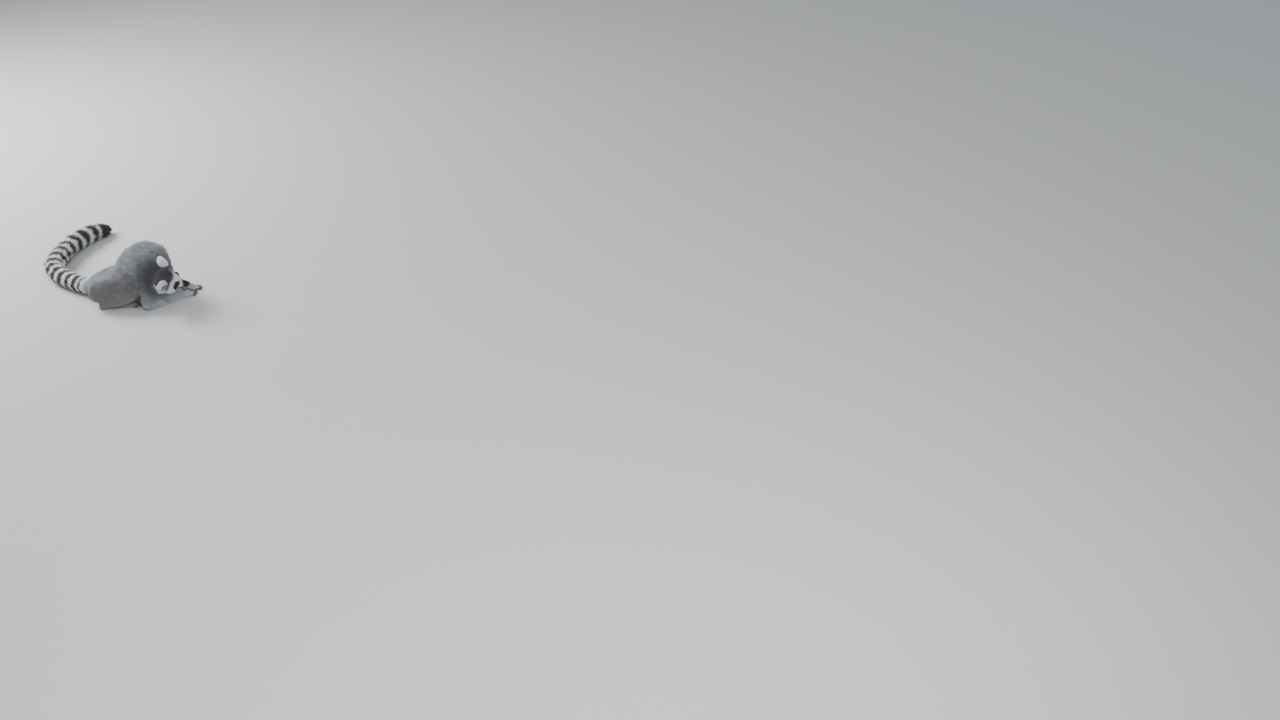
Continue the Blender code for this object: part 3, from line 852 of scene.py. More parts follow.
def body_colours():
    """The back, the limbs and the tail, with a pale belly, the painted shade of the haunch, and a nape that
    darkens towards the head with its own darker fur and painted shade.
    """
    colours = spread(np.array([NODE_COLOUR[kind(name)] for name in FLESH])[owner], edges, COLOUR_BLEND)
    low = eased(*BELLY_FACING, -normals[:, 2]) * (1 - tail_share[:, 0])
    low *= 1 - LEG_GREY * on_nodes(LEGS, LEG_BLEND)
    colours = mixed(colours, PALE, low * BELLY_PALE)
    # Towards the head the nape darkens: its own darker fur, and painted shade.
    to_head = np.linalg.norm(in_head(points) - np.array(NAPE_MIDDLE), axis=1)
    nape_and_shade = (1 - eased(NAPE_END, NAPE_START, to_head)) * (1 - low) * (1 - on_nodes(["head"], 2))
    colours = mixed(colours, SHADED_NAPE, nape_and_shade * (1 - on_nodes(two("ear"), 1)))
    on_tail = on_nodes(TAILS, 2)[:, None]
    return colours * (1 - on_tail) + tail_colours(colours, tail_place) * on_tail


def eye_patch(local, side):
    """1 on the dark patch round an eye: a lozenge that runs out to the cheek and a little to the brow."""
    away = (local * (1, side, 1) - np.array(PATCH_MIDDLE)) / np.array(PATCH_HALF)
    distance = np.linalg.norm(away, axis=1)
    forward, out, up = away.T / np.maximum(distance, 1e-6)
    down = np.clip(0.30 * out - 0.85 * up + 0.30 * forward, 0, 1)
    above = np.clip(up - 0.35 * out, 0, 1)
    return 1 - eased(*PATCH_EDGE, distance / (1 + TO_CHEEK * down**3 + TO_BROW * above**4))


def markings_and_shade():
    """The colour of the coat on each point of the skin, with painted shade on the haunch, on the nape and
    round the foot of each ear.
    """
    colours = body_colours()
    local = in_head(points)
    x, y, z = local.T
    head = on_nodes(["head"], 1)
    cap = eased(*CAP_EDGE, z - CAP_SLOPE * x) * (1 - eased(*CAP_SIDE, abs(y) + 0.25 * abs(x)))
    colours = mixed(colours, CROWN, cap * head)
    # Round the foot of each ear the fur is darker, and painted shade of the recess lies there too.
    for foot in EAR_FOOT.values():
        near_ear = 1 - eased(*EAR_SHADE, np.linalg.norm(local - np.array(foot), axis=1))
        colours = mixed(colours, SHADED_NAPE, near_ear * head * (1 - on_nodes(two("ear"), 1)) * SHADE_DEPTH)
    for side in (1, -1):
        colours = mixed(colours, DARK, eye_patch(local, side) * head)
    muzzle = eased(*MUZZLE, x + 0.25 * (z + 0.012))
    colours = mixed(colours, DARK, np.maximum(muzzle * head, lips))
    colours = mixed(colours, TIP_SKIN, np.maximum(tips, palms) * BARE_DEPTH)
    colours = mixed(colours, SHADED_NAPE, ear_base * BASE_DEPTH)
    return mixed(colours, EAR_SKIN, ear_hollow)


colours = markings_and_shade()
print("mean colour of the coat", colours.mean(0).round(3))

# %% [markdown]
# ## Locks
#
# Fur clumps into small pointed locks. One lock is a three-sided spike, cut across so that it can bend.
# It is copied many thousand times as arrays: each copy is rooted on the skin, leans along the lie of
# the coat, bends back towards the body and is as long as the coat is there. Slow waves over the body
# turn and lift whole groups of locks together, which is what breaks real fur into tufts.

# %% One lock
FULLNESS = 2.2  # 1 is a straight cone, and more is fuller in the middle


def lock_shape(cuts):
    """A spike one long with a flat foot: its points as (along, across, up), and its triangles."""
    bm = bmesh.new()
    half_up = Matrix.Translation((0, 0, 0.5))
    bmesh.ops.create_cone(bm, cap_ends=True, segments=3, radius1=1, radius2=0, depth=1, matrix=half_up)
    bmesh.ops.remove_doubles(bm, verts=bm.verts[:], dist=0.001)
    for cut in cuts:
        everything = [*bm.verts, *bm.edges, *bm.faces]
        bmesh.ops.bisect_plane(bm, geom=everything, plane_co=(0, 0, cut), plane_no=(0, 0, 1))
    bmesh.ops.triangulate(bm, faces=bm.faces[:])
    bmesh.ops.recalc_face_normals(bm, faces=bm.faces[:])
    for vertex in bm.verts:
        place = vertex.co.z
        if 0 < place < 1:
            fuller = (1 - place**FULLNESS) / (1 - place)
            vertex.co.x *= fuller
            vertex.co.y *= fuller
    shape = np.array([(v.co.z, v.co.x, v.co.y) for v in bm.verts])
    triangles = np.array([[v.index for v in face.verts] for face in bm.faces])
    bm.free()
    return shape, triangles


LONG_LOCK = lock_shape((0.38, 0.74))
SHORT_LOCK = lock_shape((0.5,))
print("a lock has", len(LONG_LOCK[1]), "triangles, and a short one", len(SHORT_LOCK[1]))

# %% [markdown]
# Blender's own hair curves would be quicker to make, but they are no mesh, and few programs read them.
# So the roots are sown here: each face of the skin gets a number of locks that follows from its area
# and from how dense the coat is there, and each root falls somewhere at random on its face.

# %% Sow roots over the skin
corners = np.empty(len(skin.data.polygons) * 3, np.int32)
skin.data.polygons.foreach_get("vertices", corners)
corners = corners.reshape(-1, 3)
sides = points[corners[:, 1:]] - points[corners[:, :1]]
areas = np.linalg.norm(np.cross(sides[:, 0], sides[:, 1]), axis=1) / 2
crowd = traits[corners, CROWD].mean(1) * areas * 1e4
print("skin of", round(float(areas.sum()), 3), "square metres, and about", int(crowd.sum()), "locks")


WAVES = {  # how strong each wave is, how far apart its crests lie, and the seed of its directions
    "turn": ((0.30, 0.030, 3), (0.16, 0.011, 4)),
    "lift": ((0.30, 0.016, 5),),
    "curl": ((0.10, 0.020, 6),),
}
PLANE_WAVES, USUAL_SUM = 7, 3.0  # how many straight waves add up to one, and what the sum seldom passes


def wave(where, length, seed):
    """A slow random wave over places, from about -1 to 1, with crests about length apart."""
    draws = np.random.default_rng(seed)
    ways = draws.normal(size=(PLANE_WAVES, 3))
    ways *= 2 * math.pi / length / np.linalg.norm(ways, axis=1, keepdims=True)
    return np.sin(where @ ways.T + draws.uniform(0, 6.28, PLANE_WAVES)).sum(1) / USUAL_SUM


def waves(where, trait):
    """All the waves that move one trait of the locks."""
    return sum(strength * wave(where, length, seed) for strength, length, seed in WAVES[trait])


def sown(faces):
    """Roots on some faces of the skin: the face of each, and its shares of the three corners."""
    total = np.cumsum(crowd[faces] * SHARE)
    count = int(total[-1])
    which = faces[np.searchsorted(total, np.arange(count) + rng.random(count) * 0.999)]
    a, b = rng.random((2, count))
    folded = a + b > 1
    a, b = np.where(folded, 1 - a, a), np.where(folded, 1 - b, b)
    return which, np.stack([1 - a - b, a, b], 1)


def at_roots(values, which, shares):
    """Values of the skin's points, read at roots."""
    return (values[corners[which]] * shares[:, :, None]).sum(1)


# %% [markdown]
# Each piece of coat also carries a map for baking. The skin under the piece is unwrapped, and a lock
# is a patch three thousandths across, at its root's place on that unwrap.

# %% Unwrap the skin under a piece
PATCH = 0.003
SEAM_ANGLE, ISLAND_GAP = math.radians(66), 0.004


def unwrapped(faces):
    """The place on an unwrap of each corner of some faces of the skin."""
    used, flat = np.unique(corners[faces], return_inverse=True)
    mesh = mesh_of("unwrap", points[used], flat.reshape(-1, 3))
    thing = linked("unwrap", mesh)
    bpy.context.view_layer.objects.active = thing
    mesh.uv_layers.new(name="OFBake")
    bpy.ops.object.mode_set(mode="EDIT")
    bpy.ops.mesh.select_all(action="SELECT")
    bpy.ops.uv.smart_project(angle_limit=SEAM_ANGLE, island_margin=ISLAND_GAP)
    bpy.ops.object.mode_set(mode="OBJECT")
    places = numbers(mesh.uv_layers[0].uv, "vector", 2).reshape(-1, 3, 2)
    bpy.data.objects.remove(thing)
    return places


def mesh_of(name, places, triangles):
    """A mesh of many triangles, made from arrays at once."""
    mesh = bpy.data.meshes.new(name)
    mesh.vertices.add(len(places))
    mesh.vertices.foreach_set("co", places.astype(np.float32).ravel())
    mesh.loops.add(triangles.size)
    mesh.loops.foreach_set("vertex_index", triangles.astype(np.int32).ravel())
    mesh.polygons.add(len(triangles))
    mesh.polygons.foreach_set("loop_start", np.arange(0, triangles.size, 3, dtype=np.int32))
    mesh.update(calc_edges=True)
    mesh.validate()
    return mesh


FIELDS = {"FLOAT": "value", "FLOAT_VECTOR": "vector", "FLOAT_COLOR": "color"}


def put_on(mesh, name, kind, values):
    """Values on every point of a mesh, for a material to read by name."""
    attribute = mesh.attributes.new(name, kind, "POINT")
    attribute.data.foreach_set(FIELDS[kind], values.astype(np.float32).ravel())


# %% [markdown]
# The middle line of a lock is an arc: it leaves the skin at its lift and bends back down as it runs
# along. So the places of all its points follow from sines and cosines, and one calculation on arrays
# bends tens of thousands of copies of the one lock. Their flat feet are sunk a little in the skin.

# %% Grow the locks of one piece
SINK = 0.05  # share of a lock's length that is rooted in the skin
FLATNESS = 0.6  # how thick a lock is for its width
FLOOR_CLEARANCE = 0.25 * MM


def bent(template, roots):
    """The points of a lock for each root, bent along its arc: one row of points for each lock."""
    u, across, up = template.T
    lift = roots["lift"][:, None]
    bend = -lift * roots["bend"][:, None]
    angle = lift + bend * u
    ahead = (np.sin(angle) - np.sin(lift)) / bend * roots["length"][:, None]
    rise = (np.cos(lift) - np.cos(angle)) / bend * roots["length"][:, None]
    way, normal = roots["way"][:, None, :], roots["normal"][:, None, :]
    beside = np.cross(normal, way)
    width = roots["width"][:, None, None] / 2
    curl = (roots["curl"] * roots["length"])[:, None, None] * (u**2)[None, :, None]
    over = normal * np.cos(angle)[..., None] - way * np.sin(angle)[..., None]
    rise = rise - SINK * roots["length"][:, None]
    place = roots["place"][:, None, :] + way * ahead[..., None] + normal * rise[..., None]
    place = place + beside * (width * across[None, :, None] + curl)
    return place + over * width * FLATNESS * up[None, :, None]


def grown(name, roots, shape, slot):
    """Locks on roots, as one object. roots holds arrays, one row for each lock."""
    template, triangles = shape
    u, across, _ = template.T
    count = len(roots["place"])
    place = bent(template, roots).reshape(-1, 3)
    place[:, 2] = np.maximum(place[:, 2], FLOOR_CLEARANCE)
    faces = (triangles[None] + (np.arange(count) * len(template))[:, None, None]).reshape(-1, 3)
    mesh = mesh_of(name, place, faces)
    rgba = np.ones((count, len(template), 4))
    rgba[..., :3] = roots["colour"][:, None, :]
    if slot == "ringed_coat":
        rgba[..., :3] = ring_colours(roots["colour"], place.reshape(count, -1, 3))
    put_on(mesh, "markings_and_shade", "FLOAT_COLOR", rgba)
    put_on(mesh, "along_lock", "FLOAT", np.tile(u, count))
    put_on(mesh, "lock_tone", "FLOAT", np.repeat(rng.random(count), len(template)))
    patch = np.stack([across, u - 0.5], 1) * PATCH * (0.5, 1.0)
    bake = (roots["map"][:, None, :] + patch[None]).reshape(-1, 2)[faces.ravel()]
    mesh.uv_layers.new(name="OFBake").uv.foreach_set("vector", bake.astype(np.float32).ravel())
    mesh.shade_smooth()
    thing = linked(name, mesh)
    mesh.materials.append(MATERIALS[slot])
    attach(thing, "root")
    return thing


# How much single locks stray from what the waves and their kind of coat give them, in radians or as a
# share, and between which lifts they stay.
TURN_STRAY, LIFT_STRAY, CURL_STRAY = 0.16, 0.15, 0.06
BENDS, LENGTHS, WIDTHS = (0.45, 0.85), (0.72, 1.18), (0.75, 1.2)
LIFT_LIMITS = (0.10, 1.2)


def roots_on(faces):
    """Everything that grown needs to know of the locks on some faces of the skin."""
    which, shares = sown(faces)
    order = np.full(len(corners), -1)
    order[faces] = np.arange(len(faces))
    place = at_roots(points, which, shares)
    normal = at_roots(normals, which, shares)
    normal /= np.linalg.norm(normal, axis=1, keepdims=True)
    way = at_roots(lie, which, shares)
    way -= normal * (way * normal).sum(1, keepdims=True)
    way /= np.maximum(np.linalg.norm(way, axis=1, keepdims=True), 1e-9)
    trait = at_roots(traits, which, shares)
    count = len(place)
    turn = waves(place, "turn") + rng.normal(0, TURN_STRAY, count)
    way = way * np.cos(turn)[:, None] + np.cross(normal, way) * np.sin(turn)[:, None]
    lift = np.radians(trait[:, LIFT]) * (1 + waves(place, "lift") + rng.normal(0, LIFT_STRAY, count))
    return {
        "place": place,
        "normal": normal,
        "way": way,
        "lift": np.clip(lift, *LIFT_LIMITS),
        "bend": rng.uniform(*BENDS, count),
        "curl": waves(place, "curl") + rng.normal(0, CURL_STRAY, count),
        "length": trait[:, LENGTH] * MM * rng.uniform(*LENGTHS, count),
        "width": trait[:, WIDTH] * MM * rng.uniform(*WIDTHS, count),
        "colour": at_roots(colours, which, shares),
        "map": (unwrapped(faces)[order[which]] * shares[:, :, None]).sum(1),
    }


print("waves change the locks'", ", ".join(WAVES))

# %% [markdown]
# ## Finishes
#
# Skin and coat share one node group. It takes the markings with their painted shade, darkens the foot of
# each lock, where no light reaches, and varies the tone from lock to lock and over the body.

# %% The node group for the tone of hair
TONE_SCALE, PORE_SCALE, CELL_SCALE = 45.0, 900.0, 1500.0  # how fine each pattern is, to the metre


def node(tree, kind, values=None, **settings):
    """A new node. Each of its inputs that is named gets a value, or a link from another socket."""
    made = tree.nodes.new(kind)
    for name, value in settings.items():
        setattr(made, name, value)
    for name, value in (values or {}).items():
        if isinstance(value, bpy.types.NodeSocket):
            tree.links.new(value, made.inputs[name])
        else:
            made.inputs[name].default_value = value
    return made


def hair_tone():
    """The markings and their painted shade, darker at the foot of a lock and varied from lock to lock and
    over the body.
    """
    group = bpy.data.node_groups.new("hair_tone", "ShaderNodeTree")
    face = group.interface
    face.new_socket(name="Markings_and_shade", in_out="INPUT", socket_type="NodeSocketColor")
    for name, value in (("Along", 0.5), ("Lock", 0.5), ("Foot", 0.66), ("Variation", 0.2)):
        face.new_socket(name=name, in_out="INPUT", socket_type="NodeSocketFloat").default_value = value
    face.new_socket(name="Colour", in_out="OUTPUT", socket_type="NodeSocketColor")

    def reckoned(operation, *values):
        """What a Math node makes of some values or sockets."""
        return node(group, "ShaderNodeMath", dict(enumerate(values)), operation=operation).outputs[0]

    given = node(group, "NodeGroupInput").outputs
    place = node(group, "ShaderNodeTexCoord").outputs["Object"]
    noise = node(group, "ShaderNodeTexNoise", {"Vector": place, "Scale": TONE_SCALE, "Detail": 3.0})
    centred = reckoned("SUBTRACT", noise.outputs["Fac"], 0.5)
    foot = reckoned("MULTIPLY_ADD", given["Along"], reckoned("SUBTRACT", 1.0, given["Foot"]), given["Foot"])
    lock = reckoned("MULTIPLY_ADD", reckoned("SUBTRACT", given["Lock"], 0.5), given["Variation"], 1.0)
    patch = reckoned("MULTIPLY_ADD", centred, reckoned("MULTIPLY", given["Variation"], 2.0), 1.0)
    tone = reckoned("MULTIPLY", foot, reckoned("MULTIPLY", lock, patch))
    scaled = node(group, "ShaderNodeVectorMath", {0: given["Markings_and_shade"], "Scale": tone}, operation="SCALE")
    node(group, "NodeGroupOutput", {"Colour": scaled.outputs[0]})
    return group


HAIR_TONE = hair_tone()
print("the group has", len(HAIR_TONE.nodes), "nodes")

# %% [markdown]
# Hair is rough, and catches a little light at grazing angles, which the sheen of the Principled surface
# gives. The pale coat of ears, hands and feet varies less and has lighter roots. The skin has the same
# markings in a deeper tone, because little light reaches it between the locks.

# %% Materials of the coat and the skin
def read(tree, name, socket="Fac"):
    """What a material reads from an attribute of the mesh."""
    return node(tree, "ShaderNodeAttribute", attribute_name=name).outputs[socket]


def material(name, roughness, sheen=0.0):
    """A new material, its node tree and its surface."""
    made = bpy.data.materials.new(name)
    made.use_nodes = True
    surface = made.node_tree.nodes["Principled BSDF"]
    surface.inputs["Roughness"].default_value = roughness
    surface.inputs["Sheen Weight"].default_value = sheen
    surface.inputs["Specular IOR Level"].default_value = 0.3
    return made, made.node_tree, surface


def toned(tree, surface, values):
    """Colours a surface with the markings and their painted shade, through the group."""
    tone = node(tree, "ShaderNodeGroup", node_tree=HAIR_TONE)
    for name, value in values.items():
        tone.inputs[name].default_value = value
    tree.links.new(read(tree, "markings_and_shade", "Color"), tone.inputs["Markings_and_shade"])
    tree.links.new(tone.outputs["Colour"], surface.inputs["Base Color"])
    return tone


def bumped(tree, surface, height, strength, distance):
    """Small bumps on a surface, from a height."""
    bump = node(tree, "ShaderNodeBump", {"Height": height, "Strength": strength, "Distance": distance})
    tree.links.new(bump.outputs["Normal"], surface.inputs["Normal"])


def coat_material(name, variation, foot=0.66):
    """Hair, which scatters a little light at grazing angles. foot is its tone at the root."""
    made, tree, surface = material(name, 0.74, 0.16)
    tone = toned(tree, surface, {"Variation": variation, "Foot": foot})
    tree.links.new(read(tree, "along_lock"), tone.inputs["Along"])
    tree.links.new(read(tree, "lock_tone"), tone.inputs["Lock"])
    return made


def skin_material():
    """The skin between the locks: the same markings in a deeper tone that paints the shade of the locks
    over it, with fine bumps.
    """
    made, tree, surface = material("skin", 0.8)
    toned(tree, surface, {"Along": 0.0, "Foot": 0.6})
    place = node(tree, "ShaderNodeTexCoord").outputs["Object"]
    noise = node(tree, "ShaderNodeTexNoise", {"Vector": place, "Scale": PORE_SCALE})
    bumped(tree, surface, noise.outputs["Fac"], 0.5, 0.4 * MM)
    return made


MATERIALS = {
    "coat": coat_material("coat", 0.30),
    "pale_coat": coat_material("pale_coat", 0.14, 0.85),
    "ringed_coat": coat_material("ringed_coat", 0.22),
}
rgba = np.ones((len(points), 4))
rgba[:, :3] = colours
put_on(skin.data, "markings_and_shade", "FLOAT_COLOR", rgba)
skin.data.materials.clear()
skin.data.materials.append(skin_material())
skin.data.shade_smooth()
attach(skin, "root")
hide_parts(*FLESH)
print("finishes:", ", ".join(MATERIALS), "and skin")

# %% [markdown]
# The coat is grown in pieces, a few nodes at a time, so that none of them becomes too large. The tail
# has a finish of its own, because its locks read the rings point by point.

# %% Grow the coat, piece by piece
PIECES = {
    "coat_head": (["head"], SHORT_LOCK, "coat"),
    "coat_ears": (two("ear"), SHORT_LOCK, "pale_coat"),
    "coat_neck": (["neck"], LONG_LOCK, "coat"),
    "coat_arm_left": (["upper_arm_left", "forearm_left"], LONG_LOCK, "coat"),
    "coat_arm_right": (["upper_arm_right", "forearm_right"], LONG_LOCK, "coat"),
    "coat_hands_and_feet": (two("hand") + two("foot"), SHORT_LOCK, "pale_coat"),
    "coat_leg_left": (["thigh_left", "shank_left"], LONG_LOCK, "coat"),
    "coat_leg_right": (["thigh_right", "shank_right"], LONG_LOCK, "coat"),
    "coat_tail_root": (["tail_1", "tail_2"], LONG_LOCK, "ringed_coat"),
    "coat_tail_middle": (["tail_3", "tail_4"], LONG_LOCK, "ringed_coat"),
    "coat_tail_end": (["tail_5"], LONG_LOCK, "ringed_coat"),
}
face_owner = owner[corners[:, 0]]
for name, (members, shape, slot) in PIECES.items():
    faces = np.flatnonzero(np.isin(face_owner, [FLESH.index(member) for member in members]))
    piece = grown(name, roots_on(faces), shape, slot)
    print(name, len(piece.data.polygons), "triangles")

# %% [markdown]
# The trunk is one node, with the largest coat of all. Its faces are parted at the median of how far back
# they lie, so that the two halves have the same number of faces, wherever the shoulders and hips are.

# %% The trunk's coat, in two halves
trunk_faces = np.flatnonzero(face_owner == FLESH.index("trunk"))
distance_back = behind_shoulders(points[corners[trunk_faces, 0]])
halfway = np.median(distance_back)
in_front = distance_back <= halfway
for name, here in (("coat_shoulders", in_front), ("coat_rump", ~in_front)):
    piece = grown(name, roots_on(trunk_faces[here]), LONG_LOCK, "coat")
    print(name, len(piece.data.polygons), "triangles")

# %% [markdown]
# ## Eyes and lids
#
# A lemur's eye is a dark globe with a wide amber iris and a small round pupil, and the clear front
# bulges a little. The globe here starts as a sphere whose pole looks out of the head, so that rings of
# faces already run round the pupil. The lids are a slice of a slightly larger sphere: a cap with a
# hole, whose rim is drawn out to the two corners of the eye.

# %% The globe
CORNEA, BULGE = math.radians(40), 0.7 * MM
RAY_SPREAD, RAY_LENGTH = 5, 1.2  # how finely the iris is streaked round the pupil, and outwards


def from_gaze(point):
    """A point's angle from the gaze, in an eye's own frame."""
    return math.atan2(math.hypot(point.x, point.y), point.z)


def globe(side):
    """An eye with a bulging front, and on each of its points where in the iris it is."""
    bm = bmesh.new()
    bmesh.ops.create_uvsphere(bm, u_segments=64, v_segments=48, radius=EYE_RADIUS)
    for vertex in bm.verts:
        share = min(from_gaze(vertex.co) / CORNEA, 1.0)
        vertex.co += vertex.co.normalized() * BULGE * (1 - share**2) ** 2
    x, y, angle = np.array([(v.co.x, v.co.y, from_gaze(v.co)) for v in bm.verts]).T
    bm.transform(eye_place(side))
    thing = object_of(f"globe_{side}", bm)
    rim = np.maximum(np.hypot(x, y), 1e-6)
    rays = np.stack([x / rim * RAY_SPREAD, y / rim * RAY_SPREAD, angle * RAY_LENGTH], 1)
    put_on(thing.data, "iris_place", "FLOAT_VECTOR", rays)
    put_on(thing.data, "from_gaze", "FLOAT", angle)
    thing.data.shade_smooth()
    return thing


eyes = {side: globe(side) for side in SIDES}
print("two globes of", len(eyes["left"].data.polygons), "faces each")

# %% [markdown]
# The iris could be a disc behind a clear front, as in a real eye. At this size a colour ramp that reads
# the angle from the gaze looks the same and needs no glass: black pupil, amber ring, dark rim. Noise
# that is stretched outwards makes the streaks. A clear, smooth layer over it all gives the wet shine.

# %% The finish of the eyes
PUPIL, IRIS = math.radians(15), math.radians(40)


def ramp_node(tree, stops):
    """A colour ramp with a stop for each pair of a position and a colour."""
    made = tree.nodes.new("ShaderNodeValToRGB")
    ramp = made.color_ramp
    while len(ramp.elements) < len(stops):
        ramp.elements.new(0.5)
    for element, (position, colour) in zip(ramp.elements, stops):
        element.position = position
        element.color = (*colour, 1)
    return made


BLACK, AMBER, GOLD = (0.002, 0.002, 0.002), (0.60, 0.17, 0.012), (0.85, 0.36, 0.03)
IRIS_EDGE = (0.05, 0.014, 0.004)
IRIS_STOPS = (  # angle from the gaze, and the colour there
    (PUPIL, BLACK),
    (PUPIL + 0.05, AMBER),
    (0.46, GOLD),
    (IRIS - 0.07, AMBER),
    (IRIS + 0.01, IRIS_EDGE),
    (0.95, BLACK),
)


def eye_material():
    """Pupil, iris and rim by the angle from the gaze, under a clear wet layer."""
    made, tree, surface = material("eye", 0.08)
    surface.inputs["Specular IOR Level"].default_value = 0.5
    surface.inputs["Coat Weight"].default_value = 1.0
    surface.inputs["Coat Roughness"].default_value = 0.03
    rays = {"Vector": read(tree, "iris_place", "Vector"), "Scale": 2.2, "Detail": 4.0}
    noise = node(tree, "ShaderNodeTexNoise", rays).outputs["Fac"]
    angle = {0: noise, 1: 0.09, 2: read(tree, "from_gaze")}
    edge = node(tree, "ShaderNodeMath", angle, operation="MULTIPLY_ADD")
    ramp = ramp_node(tree, IRIS_STOPS)
    tree.links.new(edge.outputs[0], ramp.inputs["Fac"])
    streaks = node(tree, "ShaderNodeMix", data_type="RGBA", blend_type="MULTIPLY")
    streaks.inputs["Factor"].default_value = 0.5
    tree.links.new(ramp.outputs["Color"], streaks.inputs["A"])
    tree.links.new(noise, streaks.inputs["B"])
    tree.links.new(streaks.outputs["Result"], surface.inputs["Base Color"])
    return made


EYE_MATERIAL = eye_material()
for side, eye in eyes.items():
    eye.data.materials.append(EYE_MATERIAL)
    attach(eye, "root")
    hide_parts(f"eye_{side}")
print("the iris has", len(IRIS_STOPS), "colours between the pupil and the rim")

# %% [markdown]
# Lids, nose and nails are bare and black. Under a lens such skin is a mesh of tiny cells, so a cell
# pattern gives both the bumps and the tone. The lids are duller than the damp nose.

# %% Bare black skin for lids, nose and nails
def bare_material(name, roughness, gloss):
    """Black skin of tiny cells. gloss is how much of a damp layer lies on it."""
    made, tree, surface = material(name, roughness)
    surface.inputs["Coat Weight"].default_value = gloss
    surface.inputs["Coat Roughness"].default_value = 0.25
    place = node(tree, "ShaderNodeTexCoord").outputs["Object"]
    pattern = {"Vector": place, "Scale": CELL_SCALE}
    cells = node(tree, "ShaderNodeTexVoronoi", pattern).outputs["Distance"]
    bumped(tree, surface, cells, 0.6, 0.15 * MM)
    tone = ramp_node(tree, ((0.0, (0.022, 0.019, 0.019)), (0.8, (0.010, 0.009, 0.009))))
    tree.links.new(cells, tone.inputs["Fac"])
    tree.links.new(tone.outputs["Color"], surface.inputs["Base Color"])
    return made


BARE = bare_material("bare_skin", 0.42, 0.25)
LID_SKIN = bare_material("lid_skin", 0.60, 0.0)
print("bare skin for nose and nails, and a duller one for the lids")

# %% [markdown]
# Both lids of an eye are one ring. A sphere just outside the globe is the start, of which only a band is
# kept. The Solidify modifier then gives the band a wall, and the Bevel modifier rounds its rim.

# %% The lids
LID_GAP, LID_THICKNESS = 0.15 * MM, 0.55 * MM
OPENING, LID_END = math.radians(43), math.radians(78)
CORNER_STRETCH, HEIGHT_SHARE = 1.16, 0.88
UPPER_LID_MORE = 0.25 * MM  # how much further out the upper lid lies than the lower one


def on_lid(angle, turn, radius):
    """A place on the lids, with the rim drawn out to the corners of the eye."""
    near = max(0.0, 1 - (angle - OPENING) / (LID_END - OPENING))
    wide = abs(math.cos(turn)) ** 3
    stretch = HEIGHT_SHARE + (CORNER_STRETCH - HEIGHT_SHARE) * wide
    angle *= 1 + (stretch - 1) * near
    radius += (UPPER_LID_MORE if math.sin(turn) > 0 else 0.0) * near
    flat = math.sin(angle) * radius
    return Vector((math.cos(turn) * flat, math.sin(turn) * flat, math.cos(angle) * radius))


def lids(side):
    """Both lids of an eye as one ring: a slice of a sphere, given a wall and a rounded rim."""
    bm = bmesh.new()
    bmesh.ops.create_uvsphere(bm, u_segments=56, v_segments=60, radius=EYE_RADIUS + LID_GAP)
    middles = {face: from_gaze(face.calc_center_median()) for face in bm.faces}
    gone = [face for face, angle in middles.items() if not OPENING < angle < LID_END]
    bmesh.ops.delete(bm, geom=gone, context="FACES")
    for vertex in bm.verts:
        turn = math.atan2(vertex.co.y, vertex.co.x)
        vertex.co = on_lid(from_gaze(vertex.co), turn, EYE_RADIUS + LID_GAP)
    bmesh.ops.recalc_face_normals(bm, faces=bm.faces[:])
    if sum(face.normal.dot(face.calc_center_median()) for face in bm.faces) < 0:
        bmesh.ops.reverse_faces(bm, faces=bm.faces[:])
    bm.transform(eye_place(side))
    thing = object_of(f"lids_{side}", bm)
    wall = thing.modifiers.new("wall", "SOLIDIFY")
    wall.thickness = LID_THICKNESS
    wall.offset = 1.0
    rim = thing.modifiers.new("round rim", "BEVEL")
    rim.width = 0.2 * MM
    rim.segments = 2
    rim.limit_method = "ANGLE"
    applied(thing)
    thing.data.shade_smooth()
    thing.data.materials.append(LID_SKIN)
    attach(thing, "root")
    return thing


for side in SIDES:
    lid = lids(side)
print("lids of", len(lid.data.polygons), "faces")

# %% [markdown]
# The lids carry short black hair, which hides where they meet the face. Its roots are laid out on the
# lids' own sphere, and the same function that grows the coat makes the locks.

# %% The short hair on the lids
LID_LOCKS = 560  # on each eye
LID_HAIR_START, LID_HAIR_END = OPENING + math.radians(6), LID_END + 0.10
SHORTEST, LENGTHENS = 1.5, 1.9  # millimetres: a hair at the rim, and how much longer it becomes
LENGTHENS_OVER = 0.35  # radians from the first hairs to the longest


def bristles(rows, lift, bend, curl, stretch):
    """Roots for grown, all dark, from rows of place, normal, way, length and place on the map."""
    rows = np.array(rows)
    count = len(rows)
    return {
        "place": rows[:, :3],
        "normal": rows[:, 3:6],
        "way": rows[:, 6:9],
        "lift": np.radians(rng.uniform(*lift, count)),
        "bend": rng.uniform(*bend, count),
        "curl": rng.normal(0, curl, count),
        "length": rows[:, 9] * rng.uniform(*stretch, count),
        "colour": np.tile(DARK, (count, 1)),
        "map": rows[:, 10:],
    }


